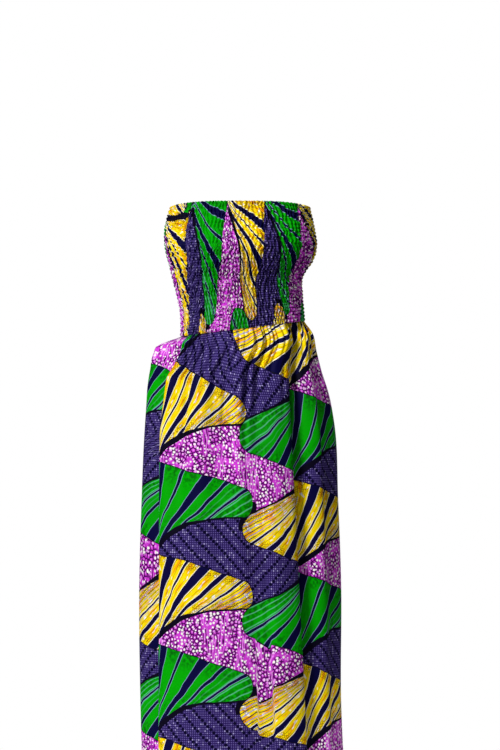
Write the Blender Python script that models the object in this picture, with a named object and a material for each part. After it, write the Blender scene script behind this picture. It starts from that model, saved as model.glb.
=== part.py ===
"""Strapless ankle-length dress in wax-print cotton.

A tube bodice, shirred on rows of elastic thread, is sewn at the waist to a long
gathered skirt. Four panels make the dress: a front and a back of each, joined by
side seams and the waist seam. Every panel is one closed wall of cloth that keeps
the hollow, worn form of the garment. Metres, +Z up, front towards -Y. The origin
is the middle of the chest opening at the level of the first elastic row.
"""

import math
from collections import namedtuple

import bmesh
import bpy
import numpy as np

# Levels of the dress
TOP_EDGE = 0.010
WAIST_LEVEL = -0.258
HEM_LEVEL = -1.230
WAIST_SLOPE = 0.125
TILT_FADE = 0.34
SIDE_DIP = 0.009

# Cloth and seams
CLOTH = 0.0016
SEAM_GAP = 0.0003
SECTION_POWER = 2.2
OUTLINE_STEPS = 240

# Shirring of the bodice
ELASTIC_ROWS = 24
PUCKERS = 25
PUCKER_LOW = 0.0014
PUCKER_HIGH = 0.0030

# Gathers and folds of the skirt
PANEL_CLOTH = 0.90
GATHERS = 31
GATHER_DEPTH = 0.0032
GATHER_FADE = 0.16
GATHER_VARIETY = 0.3
GATHER_BEAT = 0.137
SINK_START = 0.03
SINK_FULL = 0.19
LAP_START = 0.10
LAP_FULL = 0.36
FOLD_CROWDING = 0.7
FOLD_SPREAD = 0.055
FOLD_ROUNDING = 0.015
BEND = 0.012
SLOPE_CLOTH = 0.080
HEM_THICKENING = 0.0004

# Half-sections of the worn bodice at each level
Section = namedtuple("Section", "level half_width front back shift")
BODICE_SECTIONS = (
    Section(0.010, 0.1440, 0.1020, 0.0990, 0.0005),
    Section(-0.020, 0.1515, 0.1110, 0.1010, -0.0010),
    Section(-0.050, 0.1565, 0.1220, 0.1010, -0.0005),
    Section(-0.085, 0.1570, 0.1290, 0.0980, 0.0020),
    Section(-0.115, 0.1490, 0.1220, 0.0940, 0.0015),
    Section(-0.150, 0.1345, 0.1070, 0.0900, -0.0035),
    Section(-0.195, 0.1275, 0.0985, 0.0870, 0.0015),
    Section(-0.230, 0.1270, 0.0970, 0.0870, 0.0045),
    Section(-0.258, 0.1280, 0.0975, 0.0880, 0.0055),
)

# Half-sections of the skirt at each level, without its folds
SKIRT_SECTIONS = (
    Section(-0.258, 0.1290, 0.0980, 0.0890, 0.0045),
    Section(-0.270, 0.1560, 0.1100, 0.1020, -0.0160),
    Section(-0.285, 0.1660, 0.1190, 0.1130, -0.0165),
    Section(-0.323, 0.1755, 0.1300, 0.1300, -0.0155),
    Section(-0.365, 0.1845, 0.1380, 0.1430, -0.0120),
    Section(-0.408, 0.1930, 0.1440, 0.1510, -0.0060),
    Section(-0.460, 0.2000, 0.1485, 0.1560, -0.0022),
    Section(-0.620, 0.2075, 0.1530, 0.1590, -0.0010),
    Section(-0.800, 0.2130, 0.1560, 0.1610, -0.0003),
    Section(-1.040, 0.2120, 0.1590, 0.1630, 0.0010),
    Section(-1.230, 0.2140, 0.1620, 0.1660, 0.0080),
)

# Rows of the skirt's sections, measured down from the waist seam
SKIRT_ROWS = (0.0, 0.010, 0.024, 0.044, 0.070, 0.102, 0.14, 0.18, 0.215, 0.25, 0.29, 0.35, 0.46, 0.62, 0.80, 0.972)

# Deep folds, each a hidden stretch of cloth that lies behind its neighbour. over is +1
# where the cloth before the fold lies over, and -1 where the cloth after it does.
# The edge columns give the fold edge's place across the dress, high and low.
Fold = namedtuple("Fold", "start end over depth edge_high edge_mid edge_low")
FRONT_FOLDS = (
    Fold(0.100, 0.225, -1, 0.027, -0.1560, -0.1740, -0.1770),
    Fold(0.585, 0.700, 1, 0.027, 0.1060, 0.1200, 0.1470),
)
BACK_FOLDS = (
    Fold(0.160, 0.260, 1, 0.025, 0.1150, 0.1280, 0.1330),
    Fold(0.435, 0.515, -1, 0.023, -0.0040, -0.0120, -0.0160),
    Fold(0.680, 0.780, -1, 0.025, -0.1120, -0.1310, -0.1390),
)
EDGE_LEVELS = (-0.345, -0.620, -1.130)

# Soft ridges between the deep folds: place along the panel's cloth, width, height, the
# depth below the waist where each is fullest, and how far it reaches up and down
Ridge = namedtuple("Ridge", "place width height fullest reach")
FRONT_RIDGES = (
    Ridge(0.045, 0.035, 0.006, 0.55, 0.60),
    Ridge(0.255, 0.030, 0.006, 0.20, 0.30),
    Ridge(0.290, 0.026, -0.006, 0.24, 0.28),
    Ridge(0.345, 0.040, 0.006, 0.34, 0.50),
    Ridge(0.400, 0.030, -0.005, 0.16, 0.22),
    Ridge(0.450, 0.030, 0.007, 0.12, 0.22),
    Ridge(0.478, 0.024, -0.007, 0.52, 0.32),
    Ridge(0.535, 0.040, 0.006, 0.60, 0.60),
    Ridge(0.760, 0.030, 0.006, 0.40, 0.50),
    Ridge(0.810, 0.028, -0.007, 0.60, 0.60),
    Ridge(0.860, 0.030, 0.005, 0.45, 0.50),
)
BACK_RIDGES = (
    Ridge(0.060, 0.034, -0.006, 0.50, 0.55),
    Ridge(0.115, 0.034, 0.006, 0.60, 0.60),
    Ridge(0.310, 0.032, 0.006, 0.22, 0.35),
    Ridge(0.350, 0.028, -0.006, 0.58, 0.50),
    Ridge(0.395, 0.032, 0.006, 0.66, 0.60),
    Ridge(0.560, 0.034, 0.006, 0.30, 0.40),
    Ridge(0.600, 0.028, -0.006, 0.60, 0.50),
    Ridge(0.640, 0.032, 0.006, 0.62, 0.55),
    Ridge(0.835, 0.032, 0.006, 0.50, 0.60),
)

# Finish of the cloth: colour, roughness and metallic value
Finish = namedtuple("Finish", "colour roughness metallic")
BODICE_FINISH = Finish((0.055, 0.040, 0.130, 1.0), 0.78, 0.0)
SKIRT_FINISH = Finish((0.010, 0.200, 0.020, 1.0), 0.74, 0.0)


def clear_scene():
    """Remove the objects that the file opens with."""
    for old in list(bpy.data.objects):
        bpy.data.objects.remove(old, do_unlink=True)


def smooth_step(value, low, high):
    """Rise softly from 0 at low to 1 at high."""
    share = np.clip((value - low) / (high - low), 0.0, 1.0)
    return share * share * (3.0 - 2.0 * share)


def table_curve(level, sections, column):
    """Read one column of a section table on a smooth curve through its rows."""
    levels = [-section.level for section in sections]
    values = [getattr(section, column) for section in sections]
    slopes = np.gradient(values, levels)
    place = min(max(-level, levels[0]), levels[-1])
    upper = min(int(np.searchsorted(levels, place, side="right")), len(levels) - 1)
    lower = upper - 1
    span = levels[upper] - levels[lower]
    share = (place - levels[lower]) / span
    rise = share * share * (3.0 - 2.0 * share)
    leave = share * (1.0 - share) ** 2 * span
    arrive = share * share * (share - 1.0) * span
    blend = values[lower] * (1.0 - rise) + values[upper] * rise
    return blend + slopes[lower] * leave + slopes[upper] * arrive


def half_outline(level, sections, back):
    """Give one half of a level's oval as points, and the share of its length at each."""
    half_width = table_curve(level, sections, "half_width")
    depth = table_curve(level, sections, "back" if back else "front")
    shift = table_curve(level, sections, "shift")
    turn = np.linspace(0.0, math.pi, OUTLINE_STEPS + 1)
    power = 2.0 / SECTION_POWER
    across = -np.sign(np.cos(turn)) * np.abs(np.cos(turn)) ** power * half_width
    forward = -np.abs(np.sin(turn)) ** power * depth
    points = np.stack([across, forward], axis=1)
    if back:
        points = -points
    points[:, 0] += shift
    steps = np.linalg.norm(np.diff(points, axis=0), axis=1)
    length = np.concatenate([[0.0], np.cumsum(steps)])
    return points, length / length[-1], length[-1]


def on_outline(shares, points, lengths):
    """Place shares of the half outline's length on it, with the outward direction there."""
    across = np.interp(shares, lengths, points[:, 0])
    forward = np.interp(shares, lengths, points[:, 1])
    step = 2.0 / OUTLINE_STEPS
    ahead = np.clip(shares + step, 0.0, 1.0)
    behind = np.clip(shares - step, 0.0, 1.0)
    run_x = np.interp(ahead, lengths, points[:, 0]) - np.interp(behind, lengths, points[:, 0])
    run_y = np.interp(ahead, lengths, points[:, 1]) - np.interp(behind, lengths, points[:, 1])
    size = np.hypot(run_x, run_y)
    return np.stack([across, forward], axis=1), np.stack([run_y / size, -run_x / size], axis=1)


def surface_directions(grid):
    """Give each point of a grid its outward direction, level at the top and bottom edges.

    At the two side seams it points straight sideways, so that neighbouring panels meet.
    """
    along = np.gradient(grid, axis=1)
    down = np.gradient(grid, axis=0)
    outward = np.cross(down, along)
    outward[(0, -1), :, 2] = 0.0
    for edge, opposite in ((0, -1), (-1, 0)):
        outward[:, edge] = (1.0, 0.0, 0.0)
        outward[:, edge, 0] = np.sign(grid[0, edge, 0] - grid[0, opposite, 0])
    return outward / np.linalg.norm(outward, axis=2, keepdims=True)


def close_seams(grid, back):
    """Draw the two side edges back, so that neighbouring panels stay a seam gap apart."""
    for edge in (0, -1):
        grid[:, edge, 1] = SEAM_GAP * (0.5 if back else -0.5)
    return grid


def seat_on_waist(rows, side):
    """Set a row's points on the waist seam's plane, half a seam gap to one side of it."""
    rows[:, 2] = WAIST_LEVEL + WAIST_SLOPE * rows[:, 0] + side * SEAM_GAP * 0.5


def zip_edges(mesh, first, second):
    """Join two chains of points that run side by side with a strip of triangles."""
    here = 0
    there = 0
    while here < len(first) - 1 or there < len(second) - 1:
        next_here = (here + 1) / max(len(first) - 1, 1)
        next_there = (there + 1) / max(len(second) - 1, 1)
        if next_here <= next_there:
            mesh.faces.new((first[here], first[here + 1], second[there]))
            here += 1
        else:
            mesh.faces.new((first[here], second[there + 1], second[there]))
            there += 1


def skin(mesh, rows, facing_out):
    """Cover a grid of points with pairs of triangles, split on alternate diagonals."""
    for row in range(len(rows) - 1):
        for column in range(len(rows[row]) - 1):
            a = rows[row][column]
            b = rows[row + 1][column]
            c = rows[row + 1][column + 1]
            d = rows[row][column + 1]
            halves = ((a, b, c), (a, c, d)) if (row + column) % 2 else ((a, b, d), (b, c, d))
            for half in halves:
                mesh.faces.new(half if facing_out else half[::-1])


def wall(name, outside, inside, finish):
    """Build one panel as a closed wall from its outer and inner grids of points."""
    mesh = bmesh.new()
    outer = [[mesh.verts.new(point) for point in row] for row in outside]
    inner = [[mesh.verts.new(point) for point in row] for row in inside]
    skin(mesh, outer, True)
    skin(mesh, inner, False)
    zip_edges(mesh, outer[0], inner[0])
    zip_edges(mesh, inner[-1], outer[-1])
    zip_edges(mesh, [row[0] for row in inner], [row[0] for row in outer])
    zip_edges(mesh, [row[-1] for row in outer], [row[-1] for row in inner])
    bmesh.ops.recalc_face_normals(mesh, faces=mesh.faces)
    data = bpy.data.meshes.new(name)
    mesh.to_mesh(data)
    mesh.free()
    data.shade_smooth()
    panel = bpy.data.objects.new(name, data)
    bpy.context.scene.collection.objects.link(panel)
    panel.data.materials.append(cloth_material(name, finish))
    return panel


def cloth_material(name, finish):
    """Make the panel's material."""
    material = bpy.data.materials.new(name + "_cloth")
    material.use_nodes = True
    shader = material.node_tree.nodes["Principled BSDF"]
    shader.inputs["Base Color"].default_value = finish.colour
    shader.inputs["Roughness"].default_value = finish.roughness
    shader.inputs["Metallic"].default_value = finish.metallic
    return material


def bodice_surface(back):
    """Lay the plain inner face of a bodice panel on a grid, a row for each line of elastic."""
    columns = 2 * PUCKERS
    shares = np.linspace(0.0, 1.0, columns + 1)
    grid = np.zeros((ELASTIC_ROWS + 1, columns + 1, 3))
    for row in range(ELASTIC_ROWS + 1):
        down = row / ELASTIC_ROWS
        level = TOP_EDGE + (WAIST_LEVEL - TOP_EDGE) * down
        points, lengths, _ = half_outline(level, BODICE_SECTIONS, back)
        places, _ = on_outline(shares, points, lengths)
        half_width = table_curve(level, BODICE_SECTIONS, "half_width")
        dip = SIDE_DIP * (places[:, 0] / half_width) ** 4 * (1.0 - down) ** 3
        tilt = WAIST_SLOPE * places[:, 0] * smooth_step(down, 0.25, 1.0)
        grid[row, :, :2] = places
        grid[row, :, 2] = level - dip + tilt
    return close_seams(grid, back)


def bodice_panel(name, back):
    """Build a bodice panel: puckers stand out between the elastic's stitches."""
    surface = bodice_surface(back)
    outward = surface_directions(surface)
    rows, columns = surface.shape[:2]
    raised = (np.arange(rows)[:, None] + np.arange(columns)[None, :]) % 2
    height = PUCKER_LOW + (PUCKER_HIGH - PUCKER_LOW) * raised
    height[:, (0, -1)] = PUCKER_LOW
    height[(0, -1), :] = 0.5 * (PUCKER_LOW + PUCKER_HIGH)
    outside = surface + outward * height[:, :, None]
    inside = surface[:, ::2].copy()
    seat_on_waist(outside[-1], 1.0)
    seat_on_waist(inside[-1], 1.0)
    return wall(name, outside, inside, BODICE_FINISH)


def rounded_path(places, knots, values, rounding):
    """Read a path of straight stretches with its corners rounded off."""
    offsets = np.linspace(-1.0, 1.0, 9)
    weights = 1.0 + np.cos(math.pi * offsets)
    total = np.zeros(len(places))
    for offset, weight in zip(offsets, weights):
        total += weight * np.interp(places + offset * rounding, knots, values)
    return total / weights.sum()


def edge_share(fold, level, points, lengths, back):
    """Find where a fold's edge lies at a level, as a share of the half outline."""
    heights = [-height for height in EDGE_LEVELS]
    across = np.interp(-level, heights, (fold.edge_high, fold.edge_mid, fold.edge_low))
    if back:
        return float(np.interp(-across, -points[:, 0], lengths))
    return float(np.interp(across, points[:, 0], lengths))


def sinking(fold, lapped):
    """Tell how far behind its neighbour a fold lies along its cloth.

    Unlapped cloth sinks on an even slope, and lapped cloth in three layers.
    """
    middle = 0.5 * (fold.start + fold.end)
    first = fold.start - BEND
    stops = np.array([first, fold.start + BEND, middle - BEND, middle + BEND, fold.end,
                      fold.end + SLOPE_CLOTH])
    layers = np.array([0.0, -0.5, -0.5, -1.0, -1.0, 0.0])
    slope = -(stops - first) / (fold.end - first)
    slope[-1] = 0.0
    depths = fold.depth * (lapped * layers + (1.0 - lapped) * slope)
    if fold.over < 0:
        return fold.start + fold.end - stops[::-1], depths[::-1]
    return stops, depths


def folded_path(places, folds, level, outline, lapped, back):
    """Give the share along the outline and the sinking of each place on the folded cloth."""
    points, lengths, around = outline
    knots = [-0.1, 0.0]
    shares = [-0.1 / around, 0.0]
    stops = [np.zeros(1)]
    depths = [np.zeros(1)]
    for fold in folds:
        edge = edge_share(fold, level, points, lengths, back)
        turn = edge - fold.over * 0.5 * (fold.end - fold.start) / around
        knots += [fold.start, 0.5 * (fold.start + fold.end), fold.end]
        shares += [edge, turn, edge]
        fold_stops, fold_depths = sinking(fold, lapped)
        stops.append(fold_stops)
        depths.append(fold_depths)
    knots += [PANEL_CLOTH, PANEL_CLOTH + 0.1]
    shares += [1.0, 1.0 + 0.1 / around]
    stops.append(np.array([PANEL_CLOTH]))
    depths.append(np.zeros(1))
    return (
        rounded_path(places, knots, shares, FOLD_ROUNDING),
        rounded_path(places, np.concatenate(stops), np.concatenate(depths), FOLD_ROUNDING),
    )


def ridge_heights(places, depth, ridges):
    """Add up the soft ridges and troughs at one depth below the waist."""
    total = np.zeros(len(places))
    for ridge in ridges:
        near = np.exp(-((places - ridge.place) / ridge.width) ** 2)
        full = math.exp(-((depth - ridge.fullest) / ridge.reach) ** 2)
        total += ridge.height * near * full
    return total


def column_places(folds):
    """Space the columns along the cloth, closer together where it folds deeply."""
    even = np.linspace(0.0, PANEL_CLOTH, OUTLINE_STEPS + 1)
    crowding = np.ones(len(even))
    for fold in folds:
        middle = 0.5 * (fold.start + fold.end)
        crowding += FOLD_CROWDING * np.exp(-((even - middle) / FOLD_SPREAD) ** 2)
    count = np.concatenate([[0.0], np.cumsum(crowding[1:] + crowding[:-1])])
    return np.interp(np.linspace(0.0, count[-1], 2 * GATHERS + 1), count, even)


def near_folds(places, folds):
    """Tell how near each place is to a deep fold, from 0 to 1."""
    total = np.zeros(len(places))
    for fold in folds:
        middle = 0.5 * (fold.start + fold.end)
        total += np.exp(-((places - middle) / FOLD_SPREAD) ** 4)
    return np.clip(total, 0.0, 1.0)


def skirt_surface(folds, ridges, back):
    """Lay the middle of a skirt panel's cloth on a grid of gathers and folds."""
    places = column_places(folds)
    in_fold = near_folds(places, folds)
    waves = np.where(np.arange(len(places)) % 2 == 0, -1.0, 1.0)
    waves *= 1.0 + GATHER_VARIETY * np.sin(places * math.tau / GATHER_BEAT)
    waves *= np.gradient(places) * len(places) / PANEL_CLOTH
    ends = np.sin(np.linspace(0.0, math.pi, len(places))) ** 0.25
    grid = np.zeros((len(SKIRT_ROWS), len(places), 3))
    for row, depth in enumerate(SKIRT_ROWS):
        level = WAIST_LEVEL - depth
        outline = half_outline(level, SKIRT_SECTIONS, back)
        lapped = smooth_step(depth, LAP_START, LAP_FULL)
        folded, sunk = folded_path(places, folds, level, outline, lapped, back)
        shares = (1.0 - lapped) * places / PANEL_CLOTH + lapped * folded
        middles, outward = on_outline(np.clip(shares, 0.0, 1.0), outline[0], outline[1])
        gather = GATHER_DEPTH * math.exp(-((depth / GATHER_FADE) ** 2))
        gather *= 0.6 + 0.4 * smooth_step(depth, 0.0, 0.03)
        calm = 1.0 - in_fold * smooth_step(depth, LAP_START * 0.5, LAP_START * 1.5)
        swell = ridge_heights(places, depth, ridges) * smooth_step(depth, 0.0, LAP_START)
        offset = sunk * smooth_step(depth, SINK_START, SINK_FULL)
        offset += (gather * waves * calm + swell) * ends
        middles += outward * offset[:, None]
        tilt = WAIST_SLOPE * (1.0 - smooth_step(depth, 0.0, TILT_FADE))
        grid[row, :, :2] = middles
        grid[row, :, 2] = level + tilt * middles[:, 0]
    return close_seams(grid, back)


def skirt_panel(name, folds, ridges, back):
    """Build a skirt panel as a wall of even cloth."""
    surface = skirt_surface(folds, ridges, back)
    outward = surface_directions(surface)
    half = np.full(surface.shape[:2], 0.5 * CLOTH)
    half[-1] += HEM_THICKENING
    outside = surface + outward * half[:, :, None]
    inside = surface - outward * half[:, :, None]
    seat_on_waist(outside[0], -1.0)
    seat_on_waist(inside[0], -1.0)
    return wall(name, outside, inside, SKIRT_FINISH)


def main():
    """Build the four panels of the dress."""
    clear_scene()
    bodice_panel("bodice_front", False)
    bodice_panel("bodice_back", True)
    skirt_panel("skirt_front", FRONT_FOLDS, FRONT_RIDGES, False)
    skirt_panel("skirt_back", BACK_FOLDS, BACK_RIDGES, True)


main()
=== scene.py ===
"""Looks of a strapless ankle-length dress in wax-print cotton.

The cloth of the four panels is laid flat at its cut size, given its gathers, folds and
shirring, and printed with fans in a half-drop repeat. Elastic, hem and top thread are
sewn on. Metres, +Z up, front towards -Y.
"""

import logging
import math
from collections.abc import Mapping, Sequence
from dataclasses import dataclass
from enum import Enum
from typing import Any

import bpy
import numpy as np
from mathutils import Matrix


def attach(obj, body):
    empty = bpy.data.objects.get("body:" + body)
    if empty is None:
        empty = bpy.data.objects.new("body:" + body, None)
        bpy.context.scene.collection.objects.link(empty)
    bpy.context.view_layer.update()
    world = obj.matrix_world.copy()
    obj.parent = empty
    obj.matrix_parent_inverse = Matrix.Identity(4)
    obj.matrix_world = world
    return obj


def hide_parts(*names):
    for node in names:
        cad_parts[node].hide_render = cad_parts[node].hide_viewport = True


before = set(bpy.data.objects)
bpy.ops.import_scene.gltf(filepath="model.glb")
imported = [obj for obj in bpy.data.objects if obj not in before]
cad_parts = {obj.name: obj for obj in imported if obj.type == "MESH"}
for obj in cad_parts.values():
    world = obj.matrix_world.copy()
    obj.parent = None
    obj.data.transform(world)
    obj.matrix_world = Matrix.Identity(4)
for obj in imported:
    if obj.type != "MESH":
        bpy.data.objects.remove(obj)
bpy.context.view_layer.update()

LOG = logging.getLogger("dress")
BODY = "root"
CUT_MAP = "cut"
# A stitch's half length, as a share of the way between the points on both sides of it.
STITCH_SHARE = 0.34
STITCH_RADIUS = 0.0003
# How far each panel's side seams stand off the plane between front and back.
SEAM_GAP = 0.00002


# ---------------------------------------------------------------- shader maths


@dataclass(frozen=True)
class Dye:
    """A colour of dye or thread, in display values from 0 to 255."""

    red: int
    green: int
    blue: int

    def linear(self) -> tuple[float, float, float, float]:
        """Return the colour in scene-linear values with full alpha.

        Returns:
            Red, green, blue and alpha.
        """
        shares = (channel / 255.0 for channel in (self.red, self.green, self.blue))
        light = [c / 12.92 if c <= 0.04045 else ((c + 0.055) / 1.055) ** 2.4 for c in shares]
        return (light[0], light[1], light[2], 1.0)


class Step(Enum):
    """Math node operations that the cloth's patterns use."""

    ADD = "ADD"
    SUBTRACT = "SUBTRACT"
    MULTIPLY = "MULTIPLY"
    LESS = "LESS_THAN"
    GREATER = "GREATER_THAN"
    LEAST = "MINIMUM"
    MOST = "MAXIMUM"
    FLOOR = "FLOOR"
    FRACTION = "FRACT"
    SIZE = "ABSOLUTE"
    ROOT = "SQRT"
    EXPONENT = "EXPONENT"
    SINE = "SINE"
    ANGLE = "ARCTAN2"
    WRAP = "PINGPONG"
    REMAINDER = "FLOORED_MODULO"


class Bench:
    """Lays nodes in the tree of one material or world."""

    def __init__(self, owner: bpy.types.Material | bpy.types.World) -> None:
        """Open the tree that is worked on."""
        owner.use_nodes = True
        self.tree = owner.node_tree

    def shader(self, name: str) -> bpy.types.NodeSocket:
        """Return a socket of the material's own shader."""
        return self.tree.nodes["Principled BSDF"].inputs[name]

    def node(
        self, kind: str, settings: Mapping[str, Any], inputs: Mapping[str, Any]
    ) -> bpy.types.Node:
        """Add a node, give it its settings and then its inputs.

        Args:
            kind: the node's type.
            settings: properties of the node by name.
            inputs: numbers, colours or links by socket identifier.

        Returns:
            The new node.
        """
        node = self.tree.nodes.new(kind)
        for name, setting in settings.items():
            setattr(node, name, setting)
        sockets = {socket.identifier: socket for socket in node.inputs}
        for name, given in inputs.items():
            self.feed(sockets[name], given)
        return node

    def feed(self, socket: bpy.types.NodeSocket, given: Any) -> None:
        """Link a value or a tint to a socket, or set a number on it.

        Args:
            socket: the socket.
            given: a value, a tint, another socket, a dye or a number.
        """
        if isinstance(given, (Value, Tint)):
            self.tree.links.new(given.socket, socket)
        elif isinstance(given, Dye):
            socket.default_value = given.linear()
        elif isinstance(given, bpy.types.NodeSocket):
            self.tree.links.new(given, socket)
        else:
            socket.default_value = given

    def math(self, step: Step, *numbers: "Value | float") -> "Value":
        """Add one Math node.

        Args:
            step: what it works out.
            numbers: the values or numbers that it works on.

        Returns:
            The result.
        """
        inputs = dict(zip(("Value", "Value_001"), numbers))
        node = self.node("ShaderNodeMath", {"operation": step.value}, inputs)
        return Value(self, node.outputs[0])

    def spot(self) -> "Spot":
        """Return the spot of flat cloth that is being coloured.

        Returns:
            The spot, in metres across and along the cloth.
        """
        place = self.node("ShaderNodeUVMap", {"uv_map": CUT_MAP}, {})
        parts = self.node("ShaderNodeSeparateXYZ", {}, {"Vector": place.outputs["UV"]})
        across, along = (Value(self, parts.outputs[name]) for name in "XY")
        return Spot(self, across, along, self.point(across, along))

    def point(self, across: "Value | float", along: "Value | float") -> bpy.types.NodeSocket:
        """Join two values into a point for a texture."""
        joined = self.node("ShaderNodeCombineXYZ", {}, {"X": across, "Y": along})
        return joined.outputs["Vector"]

    def noise(self, point: bpy.types.NodeSocket, scale: float, detail: float = 2.0) -> "Value":
        """Return soft noise from 0 to 1.

        Args:
            point: where it is read.
            scale: its scale in cells per metre.
            detail: how many finer layers it has.

        Returns:
            The noise.
        """
        node = self.node(
            "ShaderNodeTexNoise",
            {"noise_dimensions": "2D"},
            {"Vector": point, "Scale": scale, "Detail": detail},
        )
        return Value(self, node.outputs[0])

    def cells(
        self, point: bpy.types.NodeSocket, scale: float, feature: str
    ) -> tuple["Value", bpy.types.Node]:
        """Return the distance of a cell pattern, and its node.

        Args:
            point: where it is read.
            scale: cells per metre.
            feature: which distance is given.

        Returns:
            The distance, and the node for its other outputs.
        """
        node = self.node(
            "ShaderNodeTexVoronoi",
            {"voronoi_dimensions": "2D", "feature": feature},
            {"Vector": point, "Scale": scale},
        )
        return Value(self, node.outputs["Distance"]), node

    def mix(self, cover: "Value | float", base: "Tint | Dye", top: "Tint | Dye") -> "Tint":
        """Lay one colour over another where cover is 1.

        Args:
            cover: 0 for the base and 1 for the top.
            base: the colour below.
            top: the colour above.

        Returns:
            The mixed colour.
        """
        node = self.node(
            "ShaderNodeMix",
            {"data_type": "RGBA"},
            {"Factor_Float": cover, "A_Color": base, "B_Color": top},
        )
        return Tint(self, node.outputs[2])


@dataclass(frozen=True)
class Tint:
    """A colour that varies over the cloth."""

    bench: Bench
    socket: bpy.types.NodeSocket

    def under(self, cover: "Value", top: "Tint | Dye") -> "Tint":
        """Lay another colour over this one where cover is 1."""
        return self.bench.mix(cover, self, top)


@dataclass(frozen=True)
class Value:
    """A number that varies over the cloth, written as Python expressions."""

    bench: Bench
    socket: bpy.types.NodeSocket

    def __add__(self, other: "Value | float") -> "Value":
        """Add."""
        return self.bench.math(Step.ADD, self, other)

    __radd__ = __add__

    def __sub__(self, other: "Value | float") -> "Value":
        """Subtract."""
        return self.bench.math(Step.SUBTRACT, self, other)

    def __rsub__(self, other: float) -> "Value":
        """Subtract this value from a number."""
        return self.bench.math(Step.SUBTRACT, other, self)

    def __mul__(self, other: "Value | float") -> "Value":
        """Multiply."""
        return self.bench.math(Step.MULTIPLY, self, other)

    __rmul__ = __mul__

    def __lt__(self, other: "Value | float") -> "Value":
        """Give 1 where this is less."""
        return self.bench.math(Step.LESS, self, other)

    def __gt__(self, other: "Value | float") -> "Value":
        """Give 1 where this is more."""
        return self.bench.math(Step.GREATER, self, other)

    def __and__(self, other: "Value | float") -> "Value":
        """Give the lesser of two values, or the overlap of two masks."""
        return self.bench.math(Step.LEAST, self, other)

    def __or__(self, other: "Value | float") -> "Value":
        """Give the greater of two values, or the union of two masks."""
        return self.bench.math(Step.MOST, self, other)

    def __mod__(self, other: float) -> "Value":
        """Give the remainder, always positive."""
        return self.bench.math(Step.REMAINDER, self, other)

    def __abs__(self) -> "Value":
        """Drop the sign."""
        return self.bench.math(Step.SIZE, self)

    def floor(self) -> "Value":
        """Round down."""
        return self.bench.math(Step.FLOOR, self)

    def fraction(self) -> "Value":
        """Keep the part behind the point."""
        return self.bench.math(Step.FRACTION, self)

    def root(self) -> "Value":
        """Take the square root."""
        return self.bench.math(Step.ROOT, self)

    def exponent(self) -> "Value":
        """Raise e to this value."""
        return self.bench.math(Step.EXPONENT, self)

    def sine(self) -> "Value":
        """Take the sine."""
        return self.bench.math(Step.SINE, self)

    def angle_to(self, other: "Value") -> "Value":
        """Give the angle whose tangent is this over the other."""
        return self.bench.math(Step.ANGLE, self, other)

    def length(self, other: "Value") -> "Value":
        """Give the length of a step with these two sides."""
        return (self * self + other * other).root()

    def in_cell(self, pitch: float) -> "Value":
        """Give the place in the nearest cell of a pitch, from -0.5 to 0.5."""
        return (self * (1.0 / pitch)).fraction() - 0.5

    def there_and_back(self, reach: float) -> "Value":
        """Run up to a reach and back down again."""
        return self.bench.math(Step.WRAP, self, reach)

    def rise(self, low: float, high: float) -> "Value":
        """Rise softly from 0 at low to 1 at high, or fall where low is the greater.

        Args:
            low: where it is 0.
            high: where it is 1.

        Returns:
            The share from 0 to 1.
        """
        node = self.bench.node(
            "ShaderNodeMapRange",
            {"interpolation_type": "SMOOTHSTEP"},
            {"Value": self, "From Min": low, "From Max": high},
        )
        return Value(self.bench, node.outputs[0])

    def swap(self, cover: "Value", other: "Value | float") -> "Value":
        """Give the other value where cover is 1 and this one where it is 0.

        Args:
            cover: which of the two counts.
            other: the other value.

        Returns:
            The value that counts.
        """
        node = self.bench.node(
            "ShaderNodeMix",
            {"data_type": "FLOAT"},
            {"Factor_Float": cover, "A_Float": self, "B_Float": other},
        )
        return Value(self.bench, node.outputs[0])


# ---------------------------------------------------------------- print


@dataclass(frozen=True)
class Spot:
    """A spot of flat cloth, on one material's bench.

    Attributes:
        bench: the material's bench.
        across: the spot's place across the cloth, in metres.
        along: its place along the cloth.
        flat: both of them, as a point for a texture.
    """

    bench: Bench
    across: Value
    along: Value
    flat: bpy.types.NodeSocket

    def noise(self, scale: float, detail: float = 2.0) -> Value:
        """Return soft noise from 0 to 1 at a scale in cells per metre."""
        return self.bench.noise(self.flat, scale, detail)


@dataclass(frozen=True)
class FanPlace:
    """Where a spot of cloth lies in the nearest fan of one of the two columns.

    Attributes:
        margin: how far inside the fan's rim it lies, negative outside.
        across: the distance from the fan column's broad side.
        drop: the height above the fan's middle line.
        rise: the height above the fan's level line.
        turn: 0 in a green fan's level and 1 in a yellow fan's.
        crescent: 1 in the dark shadow printed beyond the fan's tip.
    """

    margin: Value
    across: Value
    drop: Value
    rise: Value
    turn: Value
    crescent: Value

    def joined(self, cover: Value, other: "FanPlace") -> "FanPlace":
        """Join the places in both columns.

        Args:
            cover: 1 where the other column's fan is the one that counts.
            other: the place in the other column.

        Returns:
            The place that counts, with the shadows of both.
        """
        parts = ("margin", "across", "drop", "rise", "turn")
        chosen = {part: getattr(self, part).swap(cover, getattr(other, part)) for part in parts}
        return FanPlace(crescent=self.crescent | other.crescent, **chosen)


@dataclass(frozen=True)
class Rib:
    """A dark rib of a fan: its angle from upright and half its spread, in degrees."""

    angle: float
    spread: float


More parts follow.
